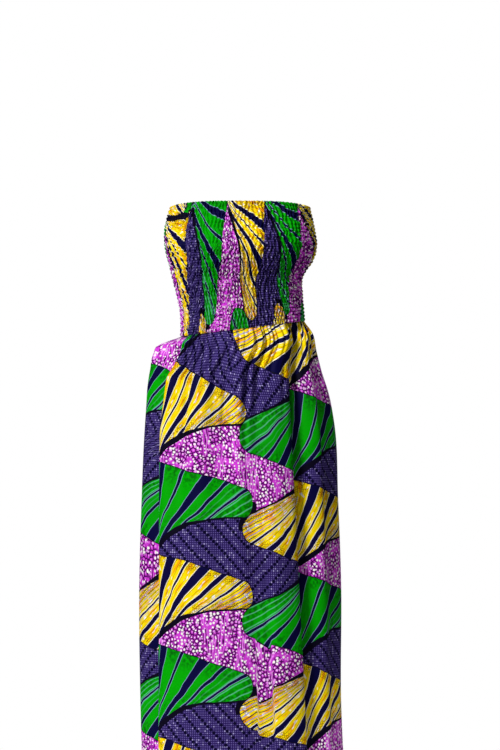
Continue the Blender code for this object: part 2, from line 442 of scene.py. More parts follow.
@dataclass(frozen=True)
class WaxPrint:
    """The printed design, in metres of cloth: fans of two columns in a half-drop repeat.

    Attributes:
        repeat: from one pair of columns to the next.
        level: from one fan to the next in its column.
        second_column: where the second column starts, which is drawn upside down.
        reach: from a fan's broad side to its tip.
        broad_edge: half the dark line between broad sides that stand back to back.
        tip_radius: the rounding of a fan's tip.
        hand_over: where the ground starts to follow the second column.
        top_height: a fan's top edge at the broad side, above the level line.
        top_fall: how far the top edge falls towards the tip.
        top_bow: how far the top edge bows upwards.
        lowest: the lowest that a bottom edge can lie.
        hollow: depth, reach and level of the first column's curved bottom edge.
        straight: rise and level of the second column's straight bottom edge.
        apex: how far behind the broad side and below the level line the ribs meet.
        sway: how far the drawing strays from its lines.
        shadow_depth: how far the tip's dark shadow reaches beyond the tip.
        shadow_start: how far before the tip it starts.
        shadow_heights: between which heights it lies.
        shadow_middle: how far below the middle line it is deepest.
        shadow_curve: how fast it thins above and below that.
        dot_pitch: the grid of light dots on the violet ground.
        row_pitch: the slanting rows of dark dots, along a row and from row to row.
        bubbles: the orchid ground's bubbles, in cells per metre.
        green_ribs: the dark ribs of a green fan.
        yellow_ribs: the dark ribs of a yellow fan.
    """

    repeat: float = 0.475
    level: float = 0.1915
    second_column: float = -0.051
    reach: float = 0.250
    broad_edge: float = 0.007
    tip_radius: float = 0.020
    hand_over: float = 0.235
    top_height: float = 0.091
    top_fall: float = 0.067
    top_bow: float = 0.006
    lowest: float = -0.100
    hollow: tuple[float, float, float] = (0.100, 0.055, -0.0235)
    straight: tuple[float, float] = (0.37, -0.022)
    apex: tuple[float, float] = (0.006, 0.128)
    sway: float = 0.011
    shadow_depth: float = 0.010
    shadow_start: float = 0.022
    shadow_heights: tuple[float, float] = (-0.036, 0.004)
    shadow_middle: float = 0.006
    shadow_curve: float = 14.0
    dot_pitch: float = 0.0047
    row_pitch: tuple[float, float] = (0.0090, 0.0230)
    bubbles: float = 140.0
    green_ribs: tuple[Rib, ...] = (
        Rib(2.5, 0.5),
        Rib(13.5, 2.5),
        Rib(26.5, 0.9),
        Rib(39.5, 2.5),
        Rib(49.0, 0.9),
        Rib(57.0, 0.6),
    )
    yellow_ribs: tuple[Rib, ...] = (
        Rib(4.0, 0.6),
        Rib(18.5, 2.7),
        Rib(28.0, 0.8),
        Rib(37.5, 2.5),
        Rib(47.0, 1.3),
        Rib(55.0, 0.6),
    )

    navy: Dye = Dye(6, 4, 58)
    ink: Dye = Dye(8, 4, 26)
    lilac: Dye = Dye(146, 150, 214)
    white: Dye = Dye(252, 250, 246)
    yellow: Dye = Dye(255, 226, 0)
    orange: Dye = Dye(250, 166, 0)
    brown: Dye = Dye(120, 66, 0)
    green: Dye = Dye(0, 166, 0)
    leaf_shade: Dye = Dye(0, 100, 4)
    pale_green: Dye = Dye(96, 196, 150)
    orchid: Dye = Dye(212, 62, 216)
    plum: Dye = Dye(66, 0, 80)
    blush: Dye = Dye(236, 140, 240)
    violet: Dye = Dye(40, 25, 88)
    dot_light: Dye = Dye(104, 90, 160)
    dot_bright: Dye = Dye(172, 162, 216)
    dot_dark: Dye = Dye(6, 2, 40)

    def fan(
        self, across: Value, along: Value, bottom: Value, column_turn: Value, shaded_turn: float
    ) -> FanPlace:
        """Find a spot's place in the fans of one column.

        Args:
            across: the distance from the column's broad side.
            along: the height along the cloth.
            bottom: the height of the fans' lower edge.
            column_turn: a whole number that changes which levels are green.
            shaded_turn: the turn of the fans whose tips have a dark shadow.

        Returns:
            The spot's place in the nearest fan.
        """
        bow = (across * (math.pi / self.reach)).sine() * self.top_bow
        top = self.top_height - across * (self.top_fall / self.reach) + bow
        bottom = bottom | self.lowest
        middle = (top + bottom) * 0.5
        half = (top - bottom) * 0.5
        raised = along - middle
        level = (raised * (1.0 / self.level) + 0.5).floor()
        drop = raised - level * self.level
        past = (across - (self.reach - self.tip_radius)) * (1.0 / self.tip_radius)
        past = (past | 0.0) & 1.0
        rounding = (1.0 - past * past).root()
        margin = (half * rounding - abs(drop)) & (across - self.broad_edge)
        margin = margin & (self.reach - across)
        turn = (level + column_turn) % 2.0
        shaded = abs(turn - shaded_turn) < 0.5
        crescent = self.tip_shadow(across - self.reach, drop) & shaded & (margin < 0.0)
        return FanPlace(
            margin=margin,
            across=across,
            drop=drop,
            rise=drop + middle,
            turn=turn,
            crescent=crescent,
        )

    def tip_shadow(self, beyond: Value, drop: Value) -> Value:
        """Mark the dark crescent that is printed beyond a fan's tip.

        Args:
            beyond: the distance beyond the fan's tip.
            drop: the height above the fan's middle line.

        Returns:
            1 in the crescent and 0 elsewhere.
        """
        low, high = self.shadow_heights
        off = drop + self.shadow_middle
        bulge = self.shadow_depth - off * off * self.shadow_curve
        return (beyond > -self.shadow_start) & (beyond < bulge) & (drop > low) & (drop < high)

    def nearest_rib(self, ribs: Sequence[Rib], angle: Value, radius: Value) -> Value:
        """Give the distance to the nearest rib's edge.

        Args:
            ribs: the fan's ribs.
            angle: the spot's angle from upright, in degrees.
            radius: its distance from where the ribs meet.

        Returns:
            The distance, negative inside a rib.
        """
        nearest = abs(angle - ribs[0].angle) - ribs[0].spread
        for rib in ribs[1:]:
            nearest = nearest & (abs(angle - rib.angle) - rib.spread)
        return nearest * radius * math.radians(1.0)

    def columns(self, spot: Spot) -> tuple[FanPlace, FanPlace, Value]:
        """Find a spot's place in both columns of fans.

        Args:
            spot: the spot of cloth.

        Returns:
            Its place in the first and in the second column, and the number of the pair.
        """
        bench = spot.bench
        sway = (spot.noise(12.0) - 0.5) * self.sway
        nod = (bench.noise(bench.point(spot.along + 3.0, spot.across), 14.0) - 0.5) * self.sway
        place = spot.across + sway
        along = spot.along + nod
        pair = (place * (1.0 / self.repeat)).floor()
        across = place - pair * self.repeat
        back_across = self.repeat - across
        depth, reach, level = self.hollow
        hollow = (across * (-1.0 / reach)).exponent() * -depth + level
        first = self.fan(across, along, hollow, pair, 0.0)
        rise, level = self.straight
        straight = (back_across - self.reach) * rise + level
        second = self.fan(back_across, self.second_column - along, straight, pair + 1.0, 1.0)
        return first, second, pair

    def colour(self, bench: Bench) -> Tint:
        """Build the print's colour over the flat cloth.

        Args:
            bench: the material's bench.

        Returns:
            The printed colour.
        """
        spot = bench.spot()
        first, second, pair = self.columns(spot)
        past_middle = (first.across > self.hand_over) & (first.margin < 0.0)
        near = first.joined((second.margin > 0.0) | past_middle, second)

        out_across = near.across + self.apex[0]
        out_up = near.rise + self.apex[1]
        radius = out_across.length(out_up)
        wave = (radius * 34.0 + near.turn * 2.1 + pair * 1.3).sine() * 0.5
        angle = out_across.angle_to(out_up) * math.degrees(1.0) + wave
        green = self.green_fan(spot, near.margin, angle, radius)
        yellow = self.yellow_fan(spot, near.margin, angle, radius)

        nearest = first.margin | second.margin
        rim = 0.0018 + near.drop.rise(0.0, -0.02) * 0.0022 + radius.rise(0.20, 0.05) * 0.0125
        seam = (first.across & second.across) < self.broad_edge
        dark = near.crescent | (nearest + rim > 0.0) | seam
        cloth = self.ground(spot, near.turn, near.drop).under(dark, self.ink)
        cloth = cloth.under(nearest.rise(-0.0003, 0.0003), bench.mix(near.turn, green, yellow))
        return cloth.under(spot.noise(9.0).rise(0.45, 0.95) * 0.22, self.ink)

    def green_fan(self, spot: Spot, margin: Value, angle: Value, radius: Value) -> Tint:
        """Colour the petals and ribs of a green fan.

        Args:
            spot: the spot of cloth.
            margin: how far inside the fan's rim it lies.
            angle: its angle from upright, in degrees.
            radius: its distance from where the ribs meet.

        Returns:
            The fan's colour.
        """
        rib = self.nearest_rib(self.green_ribs, angle, radius)
        mottle = spot.noise(130.0, 3.0)
        shade = margin.rise(0.045, 0.006) * rib.rise(0.001, 0.009)
        shade = (shade * mottle.rise(0.36, 0.62) * 0.9) & 1.0
        petals = spot.bench.mix(shade, self.green, self.leaf_shade)
        streaks = (angle * (math.tau / 2.9)).sine().rise(0.70, 0.92) * angle.rise(50.0, 58.0)
        petals = petals.under(streaks * 0.75, self.pale_green)
        outline = (rib > 0.0) & (rib < 0.0010)
        petals = petals.under(outline * 0.85, self.lilac)
        return petals.under(rib < 0.0, self.navy)

    def yellow_fan(self, spot: Spot, margin: Value, angle: Value, radius: Value) -> Tint:
        """Colour the petals and ribs of a yellow fan.

        Args:
            spot: the spot of cloth.
            margin: how far inside the fan's rim it lies.
            angle: its angle from upright, in degrees.
            radius: its distance from where the ribs meet.

        Returns:
            The fan's colour.
        """
        bench = spot.bench
        rib = self.nearest_rib(self.yellow_ribs, angle, radius)
        grain = bench.noise(bench.point(angle * 0.45, radius * 30.0), 1.0)
        shade = rib.rise(0.003, 0.009) * grain.rise(0.47, 0.64)
        petals = bench.mix(shade, self.yellow, self.orange)
        blot = bench.noise(bench.point(angle * 0.50 + 7.0, radius * 60.0), 1.0)
        petals = petals.under(blot.rise(0.60, 0.70) * rib.rise(0.001, 0.005), self.white)
        edge, _ = bench.cells(spot.flat, 230.0, "DISTANCE_TO_EDGE")
        crackle = edge.rise(0.16, 0.06) * margin.rise(0.026, 0.010)
        petals = petals.under(crackle * spot.noise(60.0).rise(0.38, 0.48), self.brown)
        lines = (angle * (math.tau / 2.7) + grain * 2.0).sine()
        petals = petals.under(lines.rise(0.90, 0.98) * radius.rise(0.10, 0.16) * 0.7, self.brown)
        outer = angle.rise(50.0, 56.0)
        petals = petals.under(lines.rise(-0.78, -0.92) * outer * 0.8, self.lilac)
        petals = petals.under(lines.rise(0.86, 0.96) * outer, self.navy)
        outline = (rib > 0.0) & (rib < 0.0012)
        petals = petals.under(outline * 0.8, self.white)
        return petals.under(rib < 0.0, self.navy)

    def ground(self, spot: Spot, turn: Value, drop: Value) -> Tint:
        """Colour the ground between the fans: orchid bubbles or dotted violet.

        Args:
            spot: the spot of cloth.
            turn: 0 in a green fan's level and 1 in a yellow fan's.
            drop: the height above the fan's middle line.

        Returns:
            The ground's colour.
        """
        orchid_side = 1.0 - abs(turn - (drop < 0.0))
        return spot.bench.mix(orchid_side, self.dotted_violet(spot), self.orchid_bubbles(spot))

    def orchid_bubbles(self, spot: Spot) -> Tint:
        """Colour the orchid ground: white bubbles, dark gaps and upright streaks.

        Args:
            spot: the spot of cloth.

        Returns:
            The ground's colour.
        """
        bench = spot.bench
        centre, cell = bench.cells(spot.flat, self.bubbles, "F1")
        gap, _ = bench.cells(spot.flat, self.bubbles, "DISTANCE_TO_EDGE")
        parts = bench.node("ShaderNodeSeparateColor", {}, {"Color": cell.outputs["Color"]})
        chance, other = (Value(bench, parts.outputs[channel]) for channel in (0, 1))
        size = centre - chance * 0.28
        dots = bench.mix(other.rise(0.45, 0.70), self.white, self.blush)
        dense = spot.noise(30.0, 1.0).rise(0.30, 0.42)
        ground = bench.mix(gap.rise(0.25, 0.10) * dense, self.orchid, self.plum)
        ground = ground.under(size.rise(0.19, 0.11), dots)
        streak = bench.noise(bench.point(spot.across * 330.0, spot.along * 40.0), 1.0, 1.0)
        streaks = bench.mix(streak.rise(0.46, 0.36), self.orchid, self.plum)
        streaks = streaks.under(streak.rise(0.54, 0.66), self.blush)
        streaks = streaks.under(size.rise(0.10, 0.04), self.white)
        zone = bench.noise(bench.point(spot.across * 30.0, spot.along * 8.0), 1.0)
        return ground.under(zone.rise(0.52, 0.58), streaks)

    def dotted_violet(self, spot: Spot) -> Tint:
        """Colour the violet ground: a fine grid of light dots and slanting dark rows.

        Args:
            spot: the spot of cloth.

        Returns:
            The ground's colour.
        """
        bench = spot.bench
        grid = (spot.across, spot.along)
        off_x, off_y = (way.in_cell(self.dot_pitch) for way in grid)
        light = off_x.length(off_y)
        dot_x, dot_y = ((way * (1.0 / self.dot_pitch)).floor() for way in grid)
        chance = bench.node(
            "ShaderNodeTexWhiteNoise",
            {"noise_dimensions": "2D"},
            {"Vector": bench.point(dot_x, dot_y)},
        )
        lucky = Value(bench, chance.outputs[0]).rise(0.80, 0.97)
        ground = bench.mix(light.rise(0.34, 0.18), self.violet, self.dot_light)
        ground = ground.under(light.rise(0.42, 0.24) * lucky, self.dot_bright)
        folded = spot.across.there_and_back(self.repeat * 0.5)
        ways = ((folded - spot.along) * math.sqrt(0.5), (folded + spot.along) * math.sqrt(0.5))
        step_x, step_y = (way.in_cell(pitch) * pitch for way, pitch in zip(ways, self.row_pitch))
        return ground.under(step_x.length(step_y).rise(0.0040, 0.0031), self.dot_dark)


@dataclass(frozen=True)
class PrintedCotton:
    """A smooth waxed cotton with the print on it.

    Attributes:
        name: the material's name.
        roughness: its mean roughness.
        crinkle: how strongly its fine creases show.
        crease_height: how high they stand.
        yarn: from one yarn of the weave to the next but one.
        sheen: the strength of its highlights.
    """

    name: str
    roughness: float = 0.64
    crinkle: float = 0.35
    crease_height: float = 0.0006
    yarn: float = 0.0007
    sheen: float = 0.05

    def material(self) -> bpy.types.Material:
        """Build the material.

        Returns:
            The printed cotton.
        """
        material = bpy.data.materials.new(self.name)
        bench = Bench(material)
        bench.feed(bench.shader("Base Color"), WaxPrint().colour(bench))
        spot = bench.spot()
        crease = spot.noise(210.0, 3.0)
        warp, weft = ((way * (math.tau / self.yarn)).sine() for way in (spot.across, spot.along))
        bench.feed(bench.shader("Roughness"), self.roughness + (crease - 0.5) * 0.16)
        bench.feed(bench.shader("Specular IOR Level"), self.sheen)
        bump = bench.node(
            "ShaderNodeBump",
            {},
            {
                "Strength": self.crinkle,
                "Distance": self.crease_height,
                "Height": crease + warp * weft * 0.06,
            },
        )
        bench.feed(bench.shader("Normal"), bump.outputs["Normal"])
        return material


@dataclass(frozen=True)
class Thread:
    """A sewing thread: twisted, matt and of one colour, with lighter stripes that wind along its
    twist.
    """

    name: str
    dye: Dye
    # the colour of the lighter stripes that wind along the twist
    twist_stripe: Dye
    twist: float = 0.0009

    def material(self) -> bpy.types.Material:
        """Build the material.

        Returns:
            The thread's material.
        """
        material = bpy.data.materials.new(self.name)
        bench = Bench(material)
        place = bench.node("ShaderNodeTexCoord", {}, {})
        parts = bench.node("ShaderNodeSeparateXYZ", {}, {"Vector": place.outputs["Object"]})
        x, y, z = (Value(bench, parts.outputs[name]) for name in "XYZ")
        # a sine along the twist mixes in the lighter stripes and varies the roughness
        twist_wave = ((x + y * 0.7 + z * 1.3) * (math.tau / self.twist)).sine()
        colour = bench.mix(twist_wave.rise(-0.2, 0.8), self.dye, self.twist_stripe)
        bench.feed(bench.shader("Base Color"), colour)
        bench.feed(bench.shader("Roughness"), 0.72 + twist_wave * 0.08)
        return material


# ---------------------------------------------------------------- worn form


class Side(Enum):
    """The side of the dress that a panel covers."""

    FRONT = "front"
    BACK = "back"


@dataclass(frozen=True)
class Section:
    """Half-sizes of the worn form at one level."""

    level: float
    half_width: float
    front: float
    back: float
    shift: float


@dataclass(frozen=True)
class Fold:
    """A deep fold: a hidden stretch of cloth that lies behind its neighbour.

    Attributes:
        start: where the hidden stretch starts along the panel's cloth.
        end: where it ends.
        over: 1 where the cloth before it lies over, -1 where the cloth after it does.
        depth: how far behind it lies.
        edges: the fold edge's place across the dress, at five levels down the skirt.
    """

    start: float
    end: float
    over: int
    depth: float
    edges: tuple[float, float, float, float, float]


@dataclass(frozen=True)
class Ridge:
    """A soft ridge along the skirt, or a trough where the height is negative.

    Attributes:
        place: its place along the panel's cloth.
        width: its half width.
        height: how far it stands out.
        fullest: how far below the waist it is fullest.
        reach: how far above and below that it runs out.
    """

    place: float
    width: float
    height: float
    fullest: float
    reach: float


def soft_step(value: np.ndarray | float, low: float, high: float) -> np.ndarray | float:
    """Rise softly from 0 at low to 1 at high."""
    share = np.clip((value - low) / (high - low), 0.0, 1.0)
    return share * share * (3.0 - 2.0 * share)


@dataclass(frozen=True)
class WornForm:
    """The oval form that the cloth is worn on, from a table of sections."""

    sections: tuple[Section, ...]
    power: float = 2.2
    steps: int = 720

    def size(self, level: float, column: str) -> float:
        """Read one size of the form at a level, on a smooth curve through the table.

        Args:
            level: the height of the level.
            column: the size's name in the table.

        Returns:
            The size.
        """
        levels = [-section.level for section in self.sections]
        values = [getattr(section, column) for section in self.sections]
        slopes = np.gradient(values, levels)
        place = min(max(-level, levels[0]), levels[-1])
        upper = min(int(np.searchsorted(levels, place, side="right")), len(levels) - 1)
        lower = upper - 1
        span = levels[upper] - levels[lower]
        share = (place - levels[lower]) / span
        rise = share * share * (3.0 - 2.0 * share)
        leave = share * (1.0 - share) ** 2 * span
        arrive = share * share * (share - 1.0) * span
        blend = values[lower] * (1.0 - rise) + values[upper] * rise
        return float(blend + slopes[lower] * leave + slopes[upper] * arrive)

    def outline(self, level: float, side: Side) -> tuple[np.ndarray, np.ndarray, float]:
        """Give one half of a level's oval.

        Args:
            level: the height of the level.
            side: which half of the oval.

        Returns:
            The points, the share of the length at each, and the whole length.
        """
        half_width = self.size(level, "half_width")
        depth = self.size(level, side.value)
        turn = np.linspace(0.0, math.pi, self.steps + 1)
        power = 2.0 / self.power
        across = -np.sign(np.cos(turn)) * np.abs(np.cos(turn)) ** power * half_width
        forward = -np.abs(np.sin(turn)) ** power * depth
        points = np.stack([across, forward], axis=1)
        if side is Side.BACK:
            points = -points
        points[:, 0] += self.size(level, "shift")
        steps = np.linalg.norm(np.diff(points, axis=0), axis=1)
        length = np.concatenate([[0.0], np.cumsum(steps)])
        return points, length / length[-1], float(length[-1])


def on_outline(
    shares: np.ndarray, points: np.ndarray, lengths: np.ndarray
) -> tuple[np.ndarray, np.ndarray]:
    """Place shares of a half outline on it, with the outward direction at each.

    Args:
        shares: how far round each place is, from 0 to 1.
        points: the outline's points.
        lengths: how far round each point is.

    Returns:
        The places, and the outward direction at each.
    """
    across = np.interp(shares, lengths, points[:, 0])
    forward = np.interp(shares, lengths, points[:, 1])
    step = 1.0 / 120.0
    ahead = np.clip(shares + step, 0.0, 1.0)
    behind = np.clip(shares - step, 0.0, 1.0)
    run_x = np.interp(ahead, lengths, points[:, 0]) - np.interp(behind, lengths, points[:, 0])
    run_y = np.interp(ahead, lengths, points[:, 1]) - np.interp(behind, lengths, points[:, 1])
    size = np.hypot(run_x, run_y)
    return np.stack([across, forward], axis=1), np.stack([run_y / size, -run_x / size], axis=1)


def wander(seed: int, count: int, places: np.ndarray) -> np.ndarray:
    """Give a smooth random walk from -1 to 1 at places from 0 to 1, over count knots.

    Args:
        seed: what the walk is drawn from.
        count: how many knots it runs over.
        places: where it is read.

    Returns:
        The walk at each place.
    """
    knots = np.random.default_rng(seed).uniform(-1.0, 1.0, count + 4)
    spot = np.clip(places, 0.0, 1.0) * count + 1.0
    low = np.floor(spot).astype(int)
    share = spot - low
    before, here, after, beyond = (knots[np.clip(low + k, 0, count + 3)] for k in (-1, 0, 1, 2))
    curve = here + 0.5 * share * (after - before)
    curve += share**2 * (before - 2.5 * here + 2.0 * after - 0.5 * beyond)
    return curve + share**3 * 0.5 * (beyond - before + 3.0 * (here - after))


# ---------------------------------------------------------------- sheets of cloth


def flat_panel(name: str, columns: int, rows: int) -> tuple[bpy.types.Object, np.ndarray]:
    """Cut a panel as a flat grid, ready to be given its worn form.

    Args:
        name: the panel's name.
        columns: how many columns of faces it has.
        rows: how many rows of faces it has.

    Returns:
        The panel, and for each of its points the place in a rows by columns table.
    """
    bpy.ops.object.select_all(action="DESELECT")
    bpy.ops.mesh.primitive_grid_add(x_subdivisions=columns, y_subdivisions=rows, size=2.0)
    panel = bpy.context.object
    panel.name = name
    panel.data.name = name
    flat = np.empty(len(panel.data.vertices) * 3)
    panel.data.vertices.foreach_get("co", flat)
    flat = flat.reshape(-1, 3)
    column = np.rint((flat[:, 0] + 1.0) * 0.5 * columns).astype(int)
    row = np.rint((1.0 - flat[:, 1]) * 0.5 * rows).astype(int)
    return panel, row * (columns + 1) + column


def wear(panel: bpy.types.Object, order: np.ndarray, worn: np.ndarray, cut: np.ndarray) -> None:
    """Move a flat panel's points to the worn form and map it to the flat cloth.

    Args:
        panel: the flat panel.
        order: each point's place in the tables.
        worn: the worn points, rows by columns by 3.
        cut: the places on the flat cloth, rows by columns by 2.
    """
    mesh = panel.data
    mesh.vertices.foreach_set("co", worn.reshape(-1, 3)[order].ravel())
    corners = np.empty(len(mesh.loops), dtype=int)
    mesh.loops.foreach_get("vertex_index", corners)
    layer = mesh.uv_layers.active
    layer.name = CUT_MAP
    layer.uv.foreach_set("vector", cut.reshape(-1, 2)[order][corners].ravel())
    mesh.update()
    mesh.shade_smooth()


def thicken(panel: bpy.types.Object, cloth: float) -> None:
    """Give a panel its cloth's thickness, inwards.

    Args:
        panel: the panel.
        cloth: the thickness.
    """
    bpy.ops.object.select_all(action="DESELECT")
    panel.select_set(True)
    bpy.context.view_layer.objects.active = panel
    solid = panel.modifiers.new("cloth", "SOLIDIFY")
    solid.thickness = cloth
    solid.offset = -1.0
    bpy.ops.object.modifier_apply(modifier=solid.name)


def outward_of(surface: np.ndarray) -> np.ndarray:
    """Give each point of a surface its outward direction.

    Args:
        surface: the points, rows by columns by 3.

    Returns:
        The directions, each of length 1.
    """
    along = np.gradient(surface, axis=1)
    down = np.gradient(surface, axis=0)
    outward = np.cross(down, along)
    size = np.linalg.norm(outward, axis=2, keepdims=True)
    return outward / np.maximum(size, 1e-12)


def seam_plane(side: "Side", behind: float = 0.0) -> float:
    """Give the Y of a panel's side seams, or of a layer turned in behind them."""
    away = SEAM_GAP + behind
    return away if side is Side.BACK else -away


def turn_seams(surface: np.ndarray, turned: float) -> np.ndarray:
    """Add a column at each side seam, turned in behind it.

    Args:
        surface: the points, rows by columns by 3.
        turned: how wide the turned cloth is.

    Returns:
        The points with both columns added.
    """
    first = surface[:, :1].copy()
    last = surface[:, -1:].copy()
    to_middle = np.sign(surface[0, len(surface[0]) // 2, 0] - surface[0, 0, 0])
    first[:, :, 0] += to_middle * turned
    last[:, :, 0] -= to_middle * turned
    return np.concatenate([first, surface, last], axis=1)


def stitched(surface: np.ndarray) -> tuple[np.ndarray, np.ndarray, np.ndarray]:
    """Lay stitches along a surface's inner rows, one to every two columns.

    Args:
        surface: the outside of the cloth, rows by columns by 3.

    Returns:
        Each stitch's middle, half run and half lift.
    """
    middles = surface[1:-1, 1:-1:2]
    runs = (surface[1:-1, 2::2] - surface[1:-1, :-2:2]) * STITCH_SHARE
    ups = outward_of(surface)[1:-1, 1:-1:2] * STITCH_RADIUS
    return middles.reshape(-1, 3), runs.reshape(-1, 3), ups.reshape(-1, 3)


@dataclass(frozen=True)
class PrintShift:
    """How far uneven gathering has moved the print near one place of a skirt panel.

    Attributes:
        place: the place along the panel's cloth.
        width: how far to each side it reaches.
        across: how far the print has moved across.
        along: how far it has moved along.
        fade_from: the depth below the waist at which the move starts to fade.
        fade_to: the depth at which it has gone, less than fade_from if it fades upwards.
        sharpness: how suddenly it ends at its sides.
    """

    place: float
    width: float
    across: float
    along: float
    fade_from: float
    fade_to: float
    sharpness: float = 4.0


@dataclass(frozen=True)
class Gather:
    """One size of the gathers that the waist seam draws in.

    Attributes:
        count: how many of them a panel has.
        height: how far they stand out.
        reach: how far below the seam they run out.
        stray: how far they stray from even spacing.
        knots: how often they change their way across a panel.
    """

    count: float
    height: float
    reach: float
    stray: float
    knots: int

    def fade(self, depth: float) -> float:
        """Give the share of the height that is left at a depth."""
        return math.exp(-((depth / self.reach) ** 2))

    def waves(self, seed: int, along: np.ndarray, drift: np.ndarray | float = 0.0) -> np.ndarray:
        """Give the uneven waves from -1 to 1 at places from 0 to 1."""
        stray = self.stray * wander(seed, self.knots, along)
        return np.sin(math.tau * (self.count * along + drift + stray))


@dataclass(frozen=True)
class SkirtPanel:
    """A skirt panel: gathered into the waist seam, with deep folds that hang to the hem.

    Attributes:
        side: the side of the dress.
        folds: its deep folds.
        ridges: its soft ridges and troughs.
        seed: what its uneven gathers are drawn from.
        print_start: where on the print its first edge is cut.
        shifts: where the gathering has moved the print.
        cloth_width: the flat cloth's width between its side seams.
        cloth: its thickness.
        columns: how many columns of faces it has.
        rows: how many rows of faces it has above the hem's fold.
        waist: the waist seam's level.
        length: from the waist seam to the hem's fold.
        slope: how the waist seam slants.
        slope_fade: how far down the slant runs out.
        turned_hem: how far the hem is turned up.
        seam_turn: how much cloth is turned in at each side seam.
        form: the oval form that the skirt hangs on.
        print_level: the print's height at the dress's own level 0.
        edge_levels: the levels at which the folds' edges are given.
        waist_places: places along the cloth where the gathering changes.
        waist_shares: where they are sewn, as shares of the half waist.
        lap: the depths between which the folds close.
        sink: the depths between which they sink behind their neighbours.
        calm: the depths between which the gathers run out beside the folds.
        swell: the depths between which the ridges grow.
        fold_rounding: the rounding of a fold's edge, along the cloth.
        bend: half the cloth that a fold's bend takes.
        slope_cloth: the cloth over which it comes back to its neighbour.
        fold_spread: how far beside a fold the cloth counts as near it.
        fine: the narrow gathers.
        broad: the wider ones.
        slow: the widest ones.
        hem_turn: height above the bottom edge and distance inside, for each turned row.
        hem_threads: the stitch row and one row on each side of it, measured down from
            the top of the turned cloth.
    """

    side: Side
    folds: tuple[Fold, ...]
    ridges: tuple[Ridge, ...]
    seed: int
    print_start: float
    shifts: tuple[PrintShift, ...] = ()
    cloth_width: float = 0.90
    cloth: float = 0.0005
    columns: int = 500
    rows: int = 90
    waist: float = -0.258
    length: float = 0.972
    slope: float = 0.125
    slope_fade: float = 0.34
    turned_hem: float = 0.015
    print_level: float = 0.6246
    seam_turn: float = 0.009

    form: WornForm = WornForm(
        (
            Section(-0.258, 0.1290, 0.0980, 0.0890, 0.0045),
            Section(-0.270, 0.1560, 0.1100, 0.1020, -0.0160),
            Section(-0.285, 0.1660, 0.1190, 0.1130, -0.0165),
            Section(-0.323, 0.1755, 0.1300, 0.1300, -0.0155),
            Section(-0.365, 0.1845, 0.1380, 0.1430, -0.0120),
            Section(-0.408, 0.1930, 0.1440, 0.1510, -0.0060),
            Section(-0.460, 0.2000, 0.1485, 0.1560, -0.0022),
            Section(-0.620, 0.2075, 0.1530, 0.1590, -0.0010),
            Section(-0.800, 0.2130, 0.1560, 0.1610, -0.0003),
            Section(-1.040, 0.2120, 0.1590, 0.1630, 0.0010),
            Section(-1.230, 0.2140, 0.1620, 0.1660, 0.0080),
        )
    )
    edge_levels: tuple[float, ...] = (-0.270, -0.345, -0.460, -0.620, -1.130)
    waist_places: tuple[float, ...] = (0.0, 0.450, 0.900)
    waist_shares: tuple[float, ...] = (0.0, 0.500, 1.0)
    lap: tuple[float, float] = (-0.060, 0.050)
    sink: tuple[float, float] = (-0.090, 0.030)
    fold_rounding: float = 0.012
    bend: float = 0.012
    slope_cloth: float = 0.080
    fold_spread: float = 0.055
    calm: tuple[float, float] = (-0.02, 0.03)
    swell: tuple[float, float] = (0.0, 0.10)
    fine: Gather = Gather(47.0, 0.0050, 0.055, 1.1, 12)
    broad: Gather = Gather(27.0, 0.0042, 0.13, 0.9, 9)
    slow: Gather = Gather(13.0, 0.0024, 0.24, 0.8, 7)
    hem_turn: tuple[tuple[float, float], ...] = (
        (0.0, 0.0009),
        (0.0010, 0.0018),
        (0.0075, 0.0019),
        (0.0150, 0.0019),
    )
    hem_threads: tuple[float, ...] = (-0.001, 0.002, 0.005)

    def build(self) -> bpy.types.Object:
        """Build the worn panel and return it.

        Returns:
            The panel.
        """
        name = f"skirt_{self.side.value}_cloth"
        places = self.column_places()
        depths = self.row_depths()
        surface = turn_seams(self.turn_hem(self.surface(places, depths)), self.seam_turn)
        cut = self.print_places(places, depths, surface)
        panel, order = flat_panel(name, surface.shape[1] - 1, surface.shape[0] - 1)
        wear(panel, order, surface, cut)
        thicken(panel, self.cloth)
        return panel

    def print_places(
        self, places: np.ndarray, depths: np.ndarray, surface: np.ndarray
    ) -> np.ndarray:
        """Say where each point of the panel lies on the printed cloth.

        Args:
            places: the columns' places along the cloth.
            depths: the rows' depths below the waist seam.
            surface: the worn points, with the hem and the seams turned in.

        Returns:
            The places on the print, rows by columns by 2.
        """
        hem_rows = len(surface) - len(depths)
        hem = np.linspace(0.001, self.turned_hem, hem_rows)
        fall = np.concatenate([depths, self.length + hem])
        first, last = places[0] - self.seam_turn, places[-1] + self.seam_turn
        wide = np.concatenate([[first], places, [last]])
        cut = np.zeros(surface.shape[:2] + (2,))
        cut[:, :, 0] = wide[None, :] + self.print_start
        level = surface[:, :, 2].copy()
        level[-hem_rows:] = level[-hem_rows - 1] - hem[:, None]
        cut[:, :, 1] = self.print_level + level
        for shift in self.shifts:
            near = np.exp(-(np.abs((wide - shift.place) / shift.width) ** shift.sharpness))
            full = 1.0 - soft_step(fall, shift.fade_from, shift.fade_to)
            cut[:, :, 0] += shift.across * near[None, :] * full[:, None]
            cut[:, :, 1] += shift.along * near[None, :] * full[:, None]
        return cut

    def row_depths(self) -> np.ndarray:
        """Space the rows down from the waist seam, closer where the gathers are."""
        share = np.linspace(0.0, 1.0, self.rows + 1)
        return self.length * (0.45 * share + 0.55 * share**1.9)

    def column_places(self) -> np.ndarray:
        """Space the columns along the cloth, closer together where it folds deeply.

        Returns:
            Their places along the cloth.
        """
        even = np.linspace(0.0, self.cloth_width, 4 * self.columns + 1)
        crowding = np.ones(len(even))
        for fold in self.folds:
            middle = 0.5 * (fold.start + fold.end)
            crowding += 0.35 * np.exp(-(((even - middle) / self.fold_spread) ** 2))
        count = np.concatenate([[0.0], np.cumsum(crowding[1:] + crowding[:-1])])
        return np.interp(np.linspace(0.0, count[-1], self.columns + 1), count, even)

